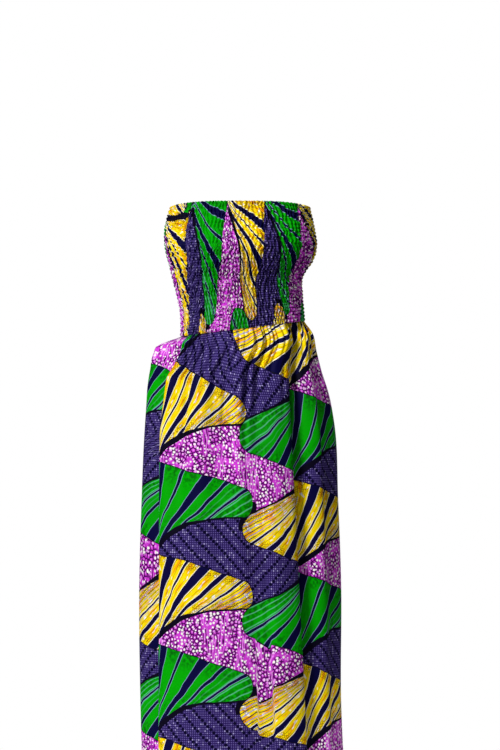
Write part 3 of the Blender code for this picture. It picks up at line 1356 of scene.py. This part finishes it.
    def near_folds(self, places: np.ndarray) -> np.ndarray:
        """Tell how near each place is to a deep fold, from 0 to 1.

        Args:
            places: the places along the cloth.

        Returns:
            The nearness of each.
        """
        total = np.zeros(len(places))
        for fold in self.folds:
            middle = 0.5 * (fold.start + fold.end)
            total += np.exp(-(((places - middle) / self.fold_spread) ** 4))
        return np.clip(total, 0.0, 1.0)

    def surface(self, places: np.ndarray, depths: np.ndarray) -> np.ndarray:
        """Lay the panel's cloth on a table of points, rows by columns by 3.

        Args:
            places: the columns' places along the cloth.
            depths: the rows' depths below the waist seam.

        Returns:
            The outside of the cloth.
        """
        in_fold = self.near_folds(places)
        along = places / self.cloth_width
        drawn_in = self.rounded(places, self.waist_places, self.waist_shares)
        ends = np.sin(np.linspace(0.0, math.pi, len(places))) ** 0.25
        grid = np.zeros((len(depths), len(places), 3))
        for row, depth in enumerate(depths):
            level = self.waist - depth
            outline = self.form.outline(level, self.side)
            lapped = float(soft_step(depth, *self.lap))
            folded, sunk = self.folded_path(places, level, outline, lapped)
            shares = (1.0 - lapped) * drawn_in + lapped * folded
            middles, outward = on_outline(np.clip(shares, 0.0, 1.0), outline[0], outline[1])
            calm = 1.0 - in_fold * float(soft_step(depth, *self.calm))
            swell = self.ridge_heights(places, depth) * float(soft_step(depth, *self.swell))
            offset = sunk * float(soft_step(depth, *self.sink))
            offset += (self.gathers(along, depth) * calm + swell) * ends
            middles = middles + outward * offset[:, None]
            tilt = self.slope * (1.0 - float(soft_step(depth, 0.0, self.slope_fade)))
            grid[row, :, :2] = middles
            grid[row, :, 2] = level + tilt * middles[:, 0]
        grid[:, (0, -1), 1] = seam_plane(self.side)
        return grid

    def folded_path(
        self,
        places: np.ndarray,
        level: float,
        outline: tuple[np.ndarray, np.ndarray, float],
        lapped: float,
    ) -> tuple[np.ndarray, np.ndarray]:
        """Give the share of the outline and the sinking of each place on the folded cloth.

        Args:
            places: the places along the cloth.
            level: the height of the level.
            outline: the half outline there: points, shares and length.
            lapped: how far the folds are closed, from 0 to 1.

        Returns:
            The shares of the outline, and how far out each place lies.
        """
        points, lengths, around = outline
        knots = [-0.1, 0.0]
        shares = [-0.1 / around, 0.0]
        stops = [np.zeros(1)]
        depths = [np.zeros(1)]
        for fold in self.folds:
            edge = self.edge_share(fold, level, points, lengths)
            turn = edge - fold.over * 0.5 * (fold.end - fold.start) / around
            knots += [fold.start, 0.5 * (fold.start + fold.end), fold.end]
            shares += [edge, turn, edge]
            fold_stops, fold_depths = self.sinking(fold, lapped)
            stops.append(fold_stops)
            depths.append(fold_depths)
        knots += [self.cloth_width, self.cloth_width + 0.1]
        shares += [1.0, 1.0 + 0.1 / around]
        stops.append(np.array([self.cloth_width]))
        depths.append(np.zeros(1))
        return (
            self.rounded(places, knots, shares),
            self.rounded(places, np.concatenate(stops), np.concatenate(depths)),
        )

    def rounded(
        self, places: np.ndarray, knots: Sequence[float], values: Sequence[float]
    ) -> np.ndarray:
        """Read a path of straight stretches with its corners rounded off.

        Args:
            places: where it is read.
            knots: where its corners are.
            values: the path at each corner.

        Returns:
            The path at each place.
        """
        offsets = np.linspace(-1.0, 1.0, 17)
        weights = 1.0 + np.cos(math.pi * offsets)
        total = np.zeros(len(places))
        for offset, weight in zip(offsets, weights):
            total += weight * np.interp(places + offset * self.fold_rounding, knots, values)
        return total / weights.sum()

    def edge_share(
        self, fold: Fold, level: float, points: np.ndarray, lengths: np.ndarray
    ) -> float:
        """Find where a fold's edge lies at a level, as a share of the half outline.

        Args:
            fold: the fold.
            level: the height of the level.
            points: the outline's points.
            lengths: the share of the length at each.

        Returns:
            The share.
        """
        across = np.interp(-level, [-height for height in self.edge_levels], fold.edges)
        if self.side is Side.BACK:
            return float(np.interp(-across, -points[:, 0], lengths))
        return float(np.interp(across, points[:, 0], lengths))

    def sinking(self, fold: Fold, lapped: float) -> tuple[np.ndarray, np.ndarray]:
        """Tell how far behind its neighbour a fold lies along its cloth.

        Args:
            fold: the fold.
            lapped: how far it is closed, from 0 to 1.

        Returns:
            Places along the cloth, and how far out the cloth lies at each.
        """
        middle = 0.5 * (fold.start + fold.end)
        first = fold.start - self.bend
        stops = np.array(
            [
                first,
                fold.start + self.bend,
                middle - self.bend,
                middle + self.bend,
                fold.end,
                fold.end + self.slope_cloth,
            ]
        )
        layers = np.array([0.0, -0.5, -0.5, -1.0, -1.0, 0.0])
        slant = -(stops - first) / (fold.end - first)
        slant[-1] = 0.0
        depths = fold.depth * (lapped * layers + (1.0 - lapped) * slant)
        if fold.over < 0:
            return fold.start + fold.end - stops[::-1], depths[::-1]
        return stops, depths

    def ridge_heights(self, places: np.ndarray, depth: float) -> np.ndarray:
        """Add up the soft ridges and troughs at one depth below the waist.

        Args:
            places: the places along the cloth.
            depth: the depth.

        Returns:
            The height at each place.
        """
        total = np.zeros(len(places))
        for ridge in self.ridges:
            off = (places - ridge.place) / ridge.width
            near = 1.4 * np.exp(-(off**2)) - 0.4 * np.exp(-((off / 2.4) ** 2))
            full = math.exp(-(((depth - ridge.fullest) / ridge.reach) ** 2))
            total += ridge.height * near * full
        return total

    def gathers(self, along: np.ndarray, depth: float) -> np.ndarray:
        """Give the uneven gathers that the waist seam draws in, at one depth.

        Args:
            along: the places along the cloth, from 0 to 1.
            depth: the depth below the seam.

        Returns:
            The height at each place.
        """
        drift = 0.35 * wander(self.seed + 5, 9, along + depth * 0.06)
        fine = self.fine.waves(self.seed, along, drift)
        broad = self.broad.waves(self.seed + 1, along)
        slow = self.slow.waves(self.seed + 2, along)
        start = 0.55 + 0.45 * float(soft_step(depth, 0.0, 0.02))
        uneven = 0.75 + 0.45 * wander(self.seed + 3, 22, along)
        patchy = 0.65 + 0.6 * wander(self.seed + 4, 15, along)
        pinch = -0.5 * np.abs(fine) ** 3
        return start * (
            self.fine.height * self.fine.fade(depth) * uneven * (fine + pinch)
            + self.broad.height * self.broad.fade(depth) * patchy * broad
            + self.slow.height * self.slow.fade(depth) * slow * uneven
        )

    def hem_stitches(self) -> tuple[np.ndarray, np.ndarray, np.ndarray]:
        """Give the hem's stitches, near the top of the cloth turned up inside."""
        depths = self.length - self.turned_hem + np.array(self.hem_threads)
        return stitched(self.surface(self.column_places(), depths))

    def turn_hem(self, surface: np.ndarray) -> np.ndarray:
        """Add the rows of the hem, turned up behind the bottom edge.

        Args:
            surface: the outside of the cloth, rows by columns by 3.

        Returns:
            The points with the hem's rows added.
        """
        inward = -outward_of(surface)[-1]
        inward[:, 2] = 0.0
        rows = [surface]
        last = surface[-1]
        for lift, step in self.hem_turn:
            row = last + inward * step
            row[:, 2] += lift
            row[(0, -1), 1] = seam_plane(self.side, step)
            rows.append(row[None])
        return np.concatenate(rows)


@dataclass(frozen=True)
class BodicePanel:
    """A bodice panel: flat cloth shirred on rows of elastic to the tube's size.

    Attributes:
        side: the side of the dress.
        seed: what its uneven puckers are drawn from.
        print_middle: the place along the cloth that lies at the print's own level 0.
        print_start: where on the print its top edge is cut.
        print_slip: how much lower the print lies at the panel's first side.
        print_lean: how far it is drawn aside at the last side, below the top edge.
        print_length: the length of print that shows from top to waist.
        cloth_width: the flat cloth's width between its side seams.
        cloth_length: its length below the turned edge.
        top: the top edge's level.
        waist: the waist seam's level.
        slope: how the waist seam slants.
        side_dip: how much lower the top edge lies at the sides.
        elastic_rows: the spaces between rows of elastic.
        puckers: how many puckers lie side by side.
        steps_across: columns of faces to a pucker.
        steps_down: rows of faces from one elastic to the next.
        stand_off: how far the cloth's outside lies off the worn form.
        pucker: the puckers' mean height.
        swell: how much the cloth between two elastics stands out beyond them.
        crowd: how far the gathering is drawn towards the sides, at the waist.
        turned_edge: how far the top edge is turned down.
        turned_gap: how far behind the wall the turned edge lies.
        seam_turn: how much cloth is turned in at each side seam.
        form: the oval form that the bodice is worn on.
        elastic_depth: how far behind the worn form the elastic lies.
        elastic_ends: how far from the side seams it ends, as a share of the width.
        elastic_steps: the stretches of each elastic's line.
    """

    side: Side
    seed: int
    print_middle: float
    print_start: float = 0.012
    print_slip: float = 0.0
    print_lean: float = 0.0
    print_length: float = 0.254
    cloth_width: float = 1.00
    cloth_length: float = 0.268
    top: float = 0.010
    waist: float = -0.258
    slope: float = 0.125
    side_dip: float = 0.009
    elastic_rows: int = 33
    puckers: int = 54
    steps_across: int = 8
    steps_down: int = 4
    stand_off: float = 0.0016
    pucker: float = 0.0030
    turned_edge: float = 0.010
    turned_gap: float = 0.0018
    seam_turn: float = 0.009
    swell: float = 0.0007
    crowd: float = 0.046
    elastic_depth: float = 0.0016
    elastic_ends: float = 0.004
    elastic_steps: int = 120

    form: WornForm = WornForm(
        (
            Section(0.010, 0.1440, 0.1020, 0.0990, 0.0005),
            Section(-0.020, 0.1515, 0.1110, 0.1010, -0.0010),
            Section(-0.050, 0.1565, 0.1220, 0.1010, -0.0005),
            Section(-0.085, 0.1570, 0.1290, 0.0980, 0.0020),
            Section(-0.115, 0.1490, 0.1220, 0.0940, 0.0015),
            Section(-0.150, 0.1345, 0.1070, 0.0900, -0.0035),
            Section(-0.195, 0.1275, 0.0985, 0.0870, 0.0015),
            Section(-0.230, 0.1270, 0.0970, 0.0870, 0.0045),
            Section(-0.258, 0.1280, 0.0975, 0.0880, 0.0055),
        )
    )

    def plain(self, shares: np.ndarray, downs: np.ndarray) -> np.ndarray:
        """Lay the panel's plain surface, without puckers, on a table of points.

        Args:
            shares: the columns' places across the panel, from 0 to 1.
            downs: the rows' places from the top edge to the waist, from 0 to 1.

        Returns:
            The points, rows by columns by 3.
        """
        grid = np.zeros((len(downs), len(shares), 3))
        for row, down in enumerate(downs):
            level = self.top + (self.waist - self.top) * down
            points, lengths, _ = self.form.outline(level, self.side)
            places, _ = on_outline(shares, points, lengths)
            half_width = self.form.size(level, "half_width")
            dip = self.side_dip * (places[:, 0] / half_width) ** 4 * (1.0 - down) ** 3
            tilt = self.slope * places[:, 0] * float(soft_step(down, 0.25, 1.0))
            grid[row, :, :2] = places
            grid[row, :, 2] = level - dip + tilt
        return grid

    def relief(self, shares: np.ndarray, downs: np.ndarray) -> tuple[np.ndarray, np.ndarray]:
        """Give the puckers' height and their phase at each point.

        Args:
            shares: the columns' places across the panel.
            downs: the rows' places down it.

        Returns:
            The heights and the phases, rows by columns.
        """
        height = np.zeros((len(downs), len(shares)))
        phase = np.zeros_like(height)
        rows = self.elastic_rows
        random = np.random.default_rng(self.seed)
        shifts = np.cumsum(random.uniform(-0.30, 0.30, rows + 2))
        warps = [wander(self.seed + 10 + k, 26, shares) for k in range(rows + 2)]
        lofts = [wander(self.seed + 60 + k, 48, shares) for k in range(rows + 2)]
        for row, down in enumerate(downs):
            spot = down * rows
            gap = min(int(spot), rows)
            share = spot - gap
            blend = share * share * (3.0 - 2.0 * share)
            shift = shifts[gap] * (1.0 - blend) + shifts[gap + 1] * blend
            warp = warps[gap] * (1.0 - blend) + warps[gap + 1] * blend
            turns = math.tau * (self.puckers * shares + shift + 0.55 * warp)
            between = math.sin(math.pi * share) ** 0.7 if 0.0 < share < 1.0 else 0.0
            loft = 1.0 + 0.35 * lofts[gap]
            shape = np.sin(turns) + 0.22 * np.sin(2.0 * turns + 1.2 * warp)
            height[row] = self.pucker * (0.55 + 0.45 * between * loft) * shape
            height[row] += self.swell * (between - 0.5)
            phase[row] = turns
        return height, phase

    def shirred(
        self, shares: np.ndarray, downs: np.ndarray
    ) -> tuple[np.ndarray, np.ndarray, np.ndarray]:
        """Lay the puckered surface on a table of points.

        Args:
            shares: the columns' places across the panel.
            downs: the rows' places down it.

        Returns:
            The points, the plain form's outward direction at each, and how far each has
            slid along the cloth in its pucker.
        """
        surface = self.plain(shares, downs)
        outward = outward_of(surface)
        height, phase = self.relief(shares, downs)
        ends = np.clip(np.minimum(shares, 1.0 - shares) * self.puckers, 0.0, 1.0)
        worn = surface + outward * (self.stand_off + height * ends)[:, :, None]
        return worn, outward, 0.0008 * np.sin(2.0 * phase) * ends

    def cloth_places(self, shares: np.ndarray, downs: np.ndarray) -> np.ndarray:
        """Say where the cloth at each point was on the flat panel, along its width.

        Args:
            shares: the columns' places across the panel.
            downs: the rows' places down it.

        Returns:
            The places, rows by columns.
        """
        crowd = self.crowd * np.sin(math.tau * shares)
        gathered = soft_step(downs, 0.35, 1.0)
        leaning = soft_step(shares, 0.81, 0.97)[None, :] * soft_step(downs, 0.0, 0.35)[:, None]
        spread = (shares[None, :] + gathered[:, None] * crowd[None, :]) * self.cloth_width
        return spread - self.print_lean * leaning

    def build(self) -> bpy.types.Object:
        """Build the worn panel and return it.

        Returns:
            The panel.
        """
        name = f"bodice_{self.side.value}_cloth"
        columns = self.puckers * self.steps_across
        rows = self.elastic_rows * self.steps_down
        shares = np.linspace(0.0, 1.0, columns + 1)
        downs = np.linspace(0.0, 1.0, rows + 1)
        worn, outward, drawn = self.shirred(shares, downs)
        worn[:, (0, -1), 1] = seam_plane(self.side)
        worn[-1, :, 2] = self.waist + self.slope * worn[-1, :, 0]
        along = self.cloth_places(shares, downs) + drawn
        cut = np.zeros(worn.shape[:2] + (2,))
        slip = self.print_slip * (1.0 - soft_step(shares, 0.222, 0.258))
        cut[:, :, 0] = self.print_start + (downs * self.print_length)[:, None] - slip
        cut[:, :, 1] = along - self.print_middle
        worn, cut = self.turn_edge(worn, cut, outward)
        worn = turn_seams(worn, self.seam_turn)
        cut = np.concatenate([cut[:, :1], cut, cut[:, -1:]], axis=1)
        cut[:, 0, 1] -= self.seam_turn
        cut[:, -1, 1] += self.seam_turn
        panel, order = flat_panel(name, worn.shape[1] - 1, worn.shape[0] - 1)
        wear(panel, order, worn, cut)
        return panel

    def turn_edge(
        self, worn: np.ndarray, cut: np.ndarray, outward: np.ndarray
    ) -> tuple[np.ndarray, np.ndarray]:
        """Add the rows of the top edge, turned down inside along the same puckers.

        Args:
            worn: the worn points, rows by columns by 3.
            cut: their places on the print.
            outward: the outward direction of the plain form at each point.

        Returns:
            The worn points and their places on the print, with the turned rows first.
        """
        row_step = (self.top - self.waist) / (len(worn) - 1)
        turned = []
        turned_cut = []
        for row in range(round(self.turned_edge / row_step), -1, -1):
            behind = self.turned_gap if row else 0.5 * self.turned_gap
            layer = worn[row] - outward[row] * behind
            layer[(0, -1), 1] = seam_plane(self.side, 0.4 * behind)
            flat = cut[row].copy()
            flat[:, 0] = 2.0 * cut[0, :, 0] - cut[row, :, 0] - behind
            if row == 0:
                layer[:, 2] += 0.0004
            turned.append(layer[None])
            turned_cut.append(flat[None])
        return np.concatenate(turned + [worn]), np.concatenate(turned_cut + [cut])

    def row_stitches(self) -> tuple[np.ndarray, np.ndarray, np.ndarray]:
        """Give each outside stitch's middle, half run and half lift, row after row.

        Returns:
            The three tables, each stitches by 3.
        """
        shares = np.linspace(0.0, 1.0, 4 * self.puckers + 1)
        downs = np.arange(self.elastic_rows + 1) / self.elastic_rows
        worn, _, _ = self.shirred(shares, downs)
        return stitched(worn)

    def elastic(self) -> np.ndarray:
        """Give the elastic rows' lines inside the panel, rows by points by 3.

        Returns:
            The lines.
        """
        shares = np.linspace(self.elastic_ends, 1.0 - self.elastic_ends, self.elastic_steps + 1)
        downs = np.arange(1, self.elastic_rows) / self.elastic_rows
        surface = self.plain(shares, downs)
        on_edge = downs * (self.top - self.waist) < self.turned_edge
        behind = self.elastic_depth + self.turned_gap * on_edge
        return surface - outward_of(surface) * behind[:, None, None]


# ---------------------------------------------------------------- sewing


@dataclass(frozen=True)
class Sewing:
    """Threads and stitches, modelled once and repeated along their lines.

    Attributes:
        navy: the thread of the stitches.
        elastic_thread: the elastic's finish.
        elastic_radius: the elastic's radius.
        thread_sides: how many sides a thin round thread has.
    """

    navy: Thread = Thread("navy_thread", Dye(14, 10, 44), Dye(44, 40, 88))
    elastic_thread: Thread = Thread("elastic_thread", Dye(196, 194, 190), Dye(232, 230, 226))
    elastic_radius: float = 0.0004
    thread_sides: int = 5

    def tubes(
        self, name: str, lines: np.ndarray, radius: float, finish: Thread
    ) -> bpy.types.Object:
        """Lay a thin round thread along each line.

        Args:
            name: the piece's name.
            lines: the lines, rows by points by 3.
            radius: the thread's radius.
            finish: the thread's finish.

        Returns:
            The joined threads.
        """
        sides = self.thread_sides
        turns = np.arange(sides) * (math.tau / sides)
        points = []
        faces = []
        for line in lines:
            run = np.gradient(line, axis=0)
            run /= np.linalg.norm(run, axis=1, keepdims=True)
            lift = np.cross(run, (0.0, 0.0, 1.0))
            lift /= np.linalg.norm(lift, axis=1, keepdims=True)
            up = np.cross(lift, run)
            ring = (
                line[:, None]
                + radius * np.cos(turns)[None, :, None] * lift[:, None]
                + radius * np.sin(turns)[None, :, None] * up[:, None]
            )
            base = sum(len(block) for block in points)
            points.append(ring.reshape(-1, 3))
            for spot in range(len(line) - 1):
                for side in range(sides):
                    a = base + spot * sides + side
                    b = base + spot * sides + (side + 1) % sides
                    faces.append((a, b, b + sides, a + sides))
            last = base + (len(line) - 1) * sides
            faces.append(tuple(base + side for side in reversed(range(sides))))
            faces.append(tuple(last + side for side in range(sides)))
        return self.piece(name, np.concatenate(points), faces, finish)

    def stitches(
        self, name: str, laid: tuple[np.ndarray, np.ndarray, np.ndarray]
    ) -> bpy.types.Object:
        """Lay one small navy stitch at each place.

        Args:
            name: the piece's name.
            laid: each stitch's middle, half run and half lift.

        Returns:
            The joined stitches.
        """
        middles, runs, ups = laid
        bpy.ops.object.select_all(action="DESELECT")
        bpy.ops.mesh.primitive_ico_sphere_add(subdivisions=1, radius=1.0)
        model = bpy.context.object
        shape = np.array([vertex.co[:] for vertex in model.data.vertices])
        corners = np.array([polygon.vertices[:] for polygon in model.data.polygons])
        bpy.data.objects.remove(model, do_unlink=True)
        sides = np.cross(runs, ups)
        sides *= np.linalg.norm(ups, axis=1, keepdims=True) / np.linalg.norm(
            sides, axis=1, keepdims=True
        )
        points = (
            middles[:, None]
            + shape[None, :, :1] * runs[:, None]
            + shape[None, :, 1:2] * sides[:, None]
            + shape[None, :, 2:] * ups[:, None]
        )
        faces = corners[None] + (np.arange(len(middles)) * len(shape))[:, None, None]
        return self.piece(name, points.reshape(-1, 3), faces.reshape(-1, 3).tolist(), self.navy)

    def piece(
        self, name: str, points: np.ndarray, faces: Sequence[Sequence[int]], finish: Thread
    ) -> bpy.types.Object:
        """Make a mesh piece of threads and ride it on the dress.

        Args:
            name: the piece's name.
            points: its points.
            faces: its faces, as places in the points.
            finish: the thread's finish.

        Returns:
            The piece.
        """
        mesh = bpy.data.meshes.new(name)
        mesh.from_pydata(points.tolist(), [], faces)
        mesh.update()
        mesh.shade_smooth()
        mesh.materials.append(finish.material())
        thread = bpy.data.objects.new(name, mesh)
        bpy.context.scene.collection.objects.link(thread)
        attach(thread, BODY)
        return thread


# ---------------------------------------------------------------- the dress


FRONT_FOLDS = (
    Fold(0.100, 0.225, -1, 0.027, (-0.1145, -0.1580, -0.1720, -0.1750, -0.1780)),
    Fold(0.585, 0.700, 1, 0.032, (0.1270, 0.1080, 0.1120, 0.1210, 0.1470)),
)
BACK_FOLDS = (
    Fold(0.160, 0.260, 1, 0.025, (0.0960, 0.1150, 0.1210, 0.1280, 0.1330)),
    Fold(0.435, 0.515, -1, 0.023, (-0.0020, -0.0040, -0.0080, -0.0120, -0.0160)),
    Fold(0.680, 0.780, -1, 0.025, (-0.0950, -0.1120, -0.1220, -0.1310, -0.1390)),
)
FRONT_RIDGES = (
    Ridge(0.045, 0.035, 0.006, 0.55, 0.60),
    Ridge(0.255, 0.030, 0.006, 0.20, 0.30),
    Ridge(0.290, 0.026, -0.006, 0.24, 0.28),
    Ridge(0.345, 0.040, 0.006, 0.34, 0.50),
    Ridge(0.400, 0.030, -0.005, 0.16, 0.22),
    Ridge(0.450, 0.030, 0.007, 0.12, 0.22),
    Ridge(0.478, 0.024, -0.007, 0.52, 0.32),
    Ridge(0.535, 0.040, 0.006, 0.60, 0.60),
    Ridge(0.760, 0.030, 0.006, 0.40, 0.50),
    Ridge(0.810, 0.028, -0.007, 0.60, 0.60),
    Ridge(0.860, 0.030, 0.005, 0.45, 0.50),
    Ridge(0.240, 0.006, -0.003, 0.08, 0.08),
    Ridge(0.265, 0.007, -0.004, 0.56, 0.10),
    Ridge(0.285, 0.006, -0.004, 0.05, 0.05),
    Ridge(0.301, 0.008, -0.005, 0.19, 0.10),
    Ridge(0.318, 0.006, -0.004, 0.06, 0.05),
    Ridge(0.346, 0.009, -0.006, 0.07, 0.08),
    Ridge(0.372, 0.006, -0.004, 0.04, 0.05),
    Ridge(0.405, 0.007, -0.004, 0.18, 0.06),
    Ridge(0.424, 0.007, -0.004, 0.60, 0.06),
    Ridge(0.430, 0.006, -0.004, 0.04, 0.05),
    Ridge(0.461, 0.008, -0.007, 0.11, 0.11),
    Ridge(0.491, 0.007, -0.006, 0.07, 0.07),
    Ridge(0.500, 0.010, -0.005, 0.58, 0.20),
    Ridge(0.525, 0.006, -0.004, 0.05, 0.05),
    Ridge(0.560, 0.007, -0.004, 0.07, 0.07),
    Ridge(0.728, 0.008, -0.007, 0.06, 0.08),
    Ridge(0.790, 0.008, -0.004, 0.28, 0.16),
)
BACK_RIDGES = (
    Ridge(0.060, 0.034, -0.006, 0.50, 0.55),
    Ridge(0.115, 0.034, 0.006, 0.60, 0.60),
    Ridge(0.310, 0.032, 0.006, 0.22, 0.35),
    Ridge(0.350, 0.028, -0.006, 0.58, 0.50),
    Ridge(0.395, 0.032, 0.006, 0.66, 0.60),
    Ridge(0.560, 0.034, 0.006, 0.30, 0.40),
    Ridge(0.600, 0.028, -0.006, 0.60, 0.50),
    Ridge(0.640, 0.032, 0.006, 0.62, 0.55),
    Ridge(0.835, 0.032, 0.006, 0.50, 0.60),
    Ridge(0.090, 0.007, -0.005, 0.08, 0.09),
    Ridge(0.140, 0.008, -0.005, 0.14, 0.12),
    Ridge(0.300, 0.007, -0.005, 0.06, 0.07),
    Ridge(0.335, 0.008, -0.005, 0.20, 0.12),
    Ridge(0.410, 0.007, -0.006, 0.08, 0.09),
    Ridge(0.545, 0.008, -0.005, 0.12, 0.11),
    Ridge(0.580, 0.007, -0.005, 0.52, 0.14),
    Ridge(0.625, 0.007, -0.005, 0.07, 0.08),
    Ridge(0.655, 0.008, -0.004, 0.24, 0.14),
    Ridge(0.810, 0.007, -0.005, 0.09, 0.10),
    Ridge(0.865, 0.008, -0.004, 0.60, 0.16),
)
FRONT_PRINT_SHIFTS = (
    PrintShift(0.030, 0.120, 0.0, -0.036, 0.42, 0.60),
    PrintShift(0.030, 0.120, -0.180, 0.0, 0.205, 0.270),
    PrintShift(0.440, 0.130, -0.019, 0.0, 0.30, 0.85),
    PrintShift(0.430, 0.125, 0.060, -0.010, 0.020, 0.240),
    PrintShift(0.300, 0.120, 0.0, -0.024, 0.0, 0.18),
    PrintShift(0.486, 0.0175, 0.0, 0.020, 0.70, 0.63, 16.0),
    PrintShift(0.486, 0.0175, 0.0, -0.020, 0.88, 0.81, 16.0),
    PrintShift(0.800, 0.160, 0.0, 0.042, 1.2, 1.4),
    PrintShift(0.800, 0.160, -0.016, 0.0, 0.30, 0.55),
)


def dressed(
    panel: SkirtPanel | BodicePanel, part: str, cotton: bpy.types.Material
) -> bpy.types.Object:
    """Build a panel's worn cloth, mapped to how it lies flat, and hide the part it stands for.

    Args:
        panel: the panel.
        part: the part of the dress that it belongs to.
        cotton: the printed cotton.

    Returns:
        The panel's cloth.
    """
    cloth = panel.build()
    cloth.data.materials.append(cotton)
    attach(cloth, BODY)
    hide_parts(f"{part}_{panel.side.value}")
    return cloth


@dataclass(frozen=True)
class Skirt:
    """The gathered skirt: its two panels and the stitches of its hem."""

    sewing: Sewing = Sewing()
    front: SkirtPanel = SkirtPanel(
        Side.FRONT,
        FRONT_FOLDS,
        FRONT_RIDGES,
        11,
        -0.205,
        FRONT_PRINT_SHIFTS,
        waist_places=(0.0, 0.217, 0.450, 0.900),
        waist_shares=(0.0, 0.170, 0.500, 1.0),
    )
    back: SkirtPanel = SkirtPanel(Side.BACK, BACK_FOLDS, BACK_RIDGES, 41, 0.130)

    def build(self, cotton: bpy.types.Material) -> list[bpy.types.Object]:
        """Build the skirt's pieces.

        Args:
            cotton: the printed cotton.

        Returns:
            The pieces.
        """
        made = []
        for panel in (self.front, self.back):
            cloth = dressed(panel, "skirt", cotton)
            name = f"hem_stitches_{panel.side.value}"
            made += [cloth, self.sewing.stitches(name, panel.hem_stitches())]
        return made


@dataclass(frozen=True)
class Bodice:
    """The shirred bodice: its two panels and the elastic inside them."""

    front: BodicePanel = BodicePanel(Side.FRONT, 200, 0.345, print_slip=0.040, print_lean=0.055)
    back: BodicePanel = BodicePanel(Side.BACK, 500, 0.150)
    sewing: Sewing = Sewing()

    def build(self, cotton: bpy.types.Material) -> list[bpy.types.Object]:
        """Build the bodice's pieces.

        Args:
            cotton: the printed cotton.

        Returns:
            The pieces.
        """
        made = []
        for panel in (self.front, self.back):
            cloth = dressed(panel, "bodice", cotton)
            elastic = self.sewing.tubes(
                f"elastic_{panel.side.value}",
                panel.elastic(),
                self.sewing.elastic_radius,
                self.sewing.elastic_thread,
            )
            name = f"row_stitches_{panel.side.value}"
            made += [cloth, elastic, self.sewing.stitches(name, panel.row_stitches())]
        return made


@dataclass(frozen=True)
class Stage:
    """A pale floor, soft studio light and the camera.

    Attributes:
        floor_level: the floor's level.
        floor_radius: how far it reaches.
        aim: the camera's place across and up.
        distance: how far before the dress it stands.
        view_height: the height that it sees there.
        light_aim: the level that the lamps look at.
        soft_strength: how bright the surroundings are to the cloth.
        seen_strength: how bright they are to the eye.
        white: their colour.
        pale: the floor's colour.
    """

    floor_level: float = -1.285
    floor_radius: float = 0.72
    aim: tuple[float, float] = (0.021, -0.355)
    distance: float = 9.0
    view_height: float = 1.59
    light_aim: float = -0.45
    soft_strength: float = 0.13
    seen_strength: float = 1.0
    white: tuple[float, float, float, float] = (1.0, 1.0, 1.0, 1.0)
    pale: tuple[float, float, float, float] = (0.9, 0.9, 0.9, 1.0)

    def build(self) -> None:
        """Set up the floor, the lights, the backdrop and the camera."""
        self.floor()
        self.lamp("key", (-2.3, -2.9, 1.7), 1.0, 188.0)
        self.lamp("fill", (2.2, -3.0, 0.6), 1.8, 16.0)
        self.lamp("back_light", (0.4, 3.0, 1.6), 2.4, 100.0)
        self.backdrop()
        self.camera()
        bpy.context.scene.view_settings.view_transform = "Standard"

    def floor(self) -> None:
        """Lay the pale floor."""
        bpy.ops.object.select_all(action="DESELECT")
        bpy.ops.mesh.primitive_circle_add(vertices=96, radius=self.floor_radius, fill_type="NGON")
        floor = bpy.context.object
        floor.name = "floor"
        points = np.array([vertex.co[:] for vertex in floor.data.vertices])
        points[:, 2] = self.floor_level
        floor.data.vertices.foreach_set("co", points.ravel())
        material = bpy.data.materials.new("pale_floor")
        bench = Bench(material)
        bench.feed(bench.shader("Base Color"), self.pale)
        bench.feed(bench.shader("Roughness"), 0.8)
        floor.data.materials.append(material)

    def lamp(
        self, name: str, place: tuple[float, float, float], size: float, power: float
    ) -> None:
        """Hang a soft square lamp that looks at the dress.

        Args:
            name: the lamp's name.
            place: where it hangs.
            size: how wide it is.
            power: its power in watts.
        """
        light = bpy.data.lights.new(name, "AREA")
        light.shape = "SQUARE"
        light.size = size
        light.energy = power
        lamp = bpy.data.objects.new(name, light)
        lamp.location = place
        aim = np.array((0.0, 0.0, self.light_aim)) - np.array(place)
        flat = math.hypot(aim[0], aim[1])
        lamp.rotation_euler = (math.atan2(flat, -aim[2]), 0.0, math.atan2(-aim[0], aim[1]))
        bpy.context.scene.collection.objects.link(lamp)

    def backdrop(self) -> None:
        """Make the surroundings white to the eye and softly bright to the cloth."""
        world = bpy.data.worlds.new("studio")
        bench = Bench(world)
        soft = bench.tree.nodes["Background"]
        bench.feed(soft.inputs["Color"], self.white)
        bench.feed(soft.inputs["Strength"], self.soft_strength)
        seen = bench.node(
            "ShaderNodeBackground", {}, {"Color": self.white, "Strength": self.seen_strength}
        )
        path = bench.node("ShaderNodeLightPath", {}, {})
        choose = bench.node(
            "ShaderNodeMixShader",
            {},
            {
                "Fac": path.outputs["Is Camera Ray"],
                "Shader": soft.outputs["Background"],
                "Shader_001": seen.outputs["Background"],
            },
        )
        bench.feed(bench.tree.nodes["World Output"].inputs["Surface"], choose.outputs["Shader"])
        bpy.context.scene.world = world

    def camera(self) -> None:
        """Set the camera level before the dress."""
        lens = bpy.data.cameras.new("camera")
        lens.lens = lens.sensor_width * self.distance / self.view_height
        camera = bpy.data.objects.new("camera", lens)
        camera.location = (self.aim[0], -self.distance, self.aim[1])
        camera.rotation_euler = (math.pi / 2.0, 0.0, 0.0)
        bpy.context.scene.collection.objects.link(camera)
        bpy.context.scene.camera = camera


def main() -> None:
    """Build the dress, its sewing and the stage."""
    logging.basicConfig(level=logging.INFO, format="%(message)s")
    Stage().build()
    cotton = PrintedCotton("wax_print_cotton").material()
    for assembly in (Skirt(), Bodice()):
        for piece in assembly.build(cotton):
            LOG.info("made %s: %d faces", piece.name, len(piece.data.polygons))


if __name__ == "__main__":
    main()
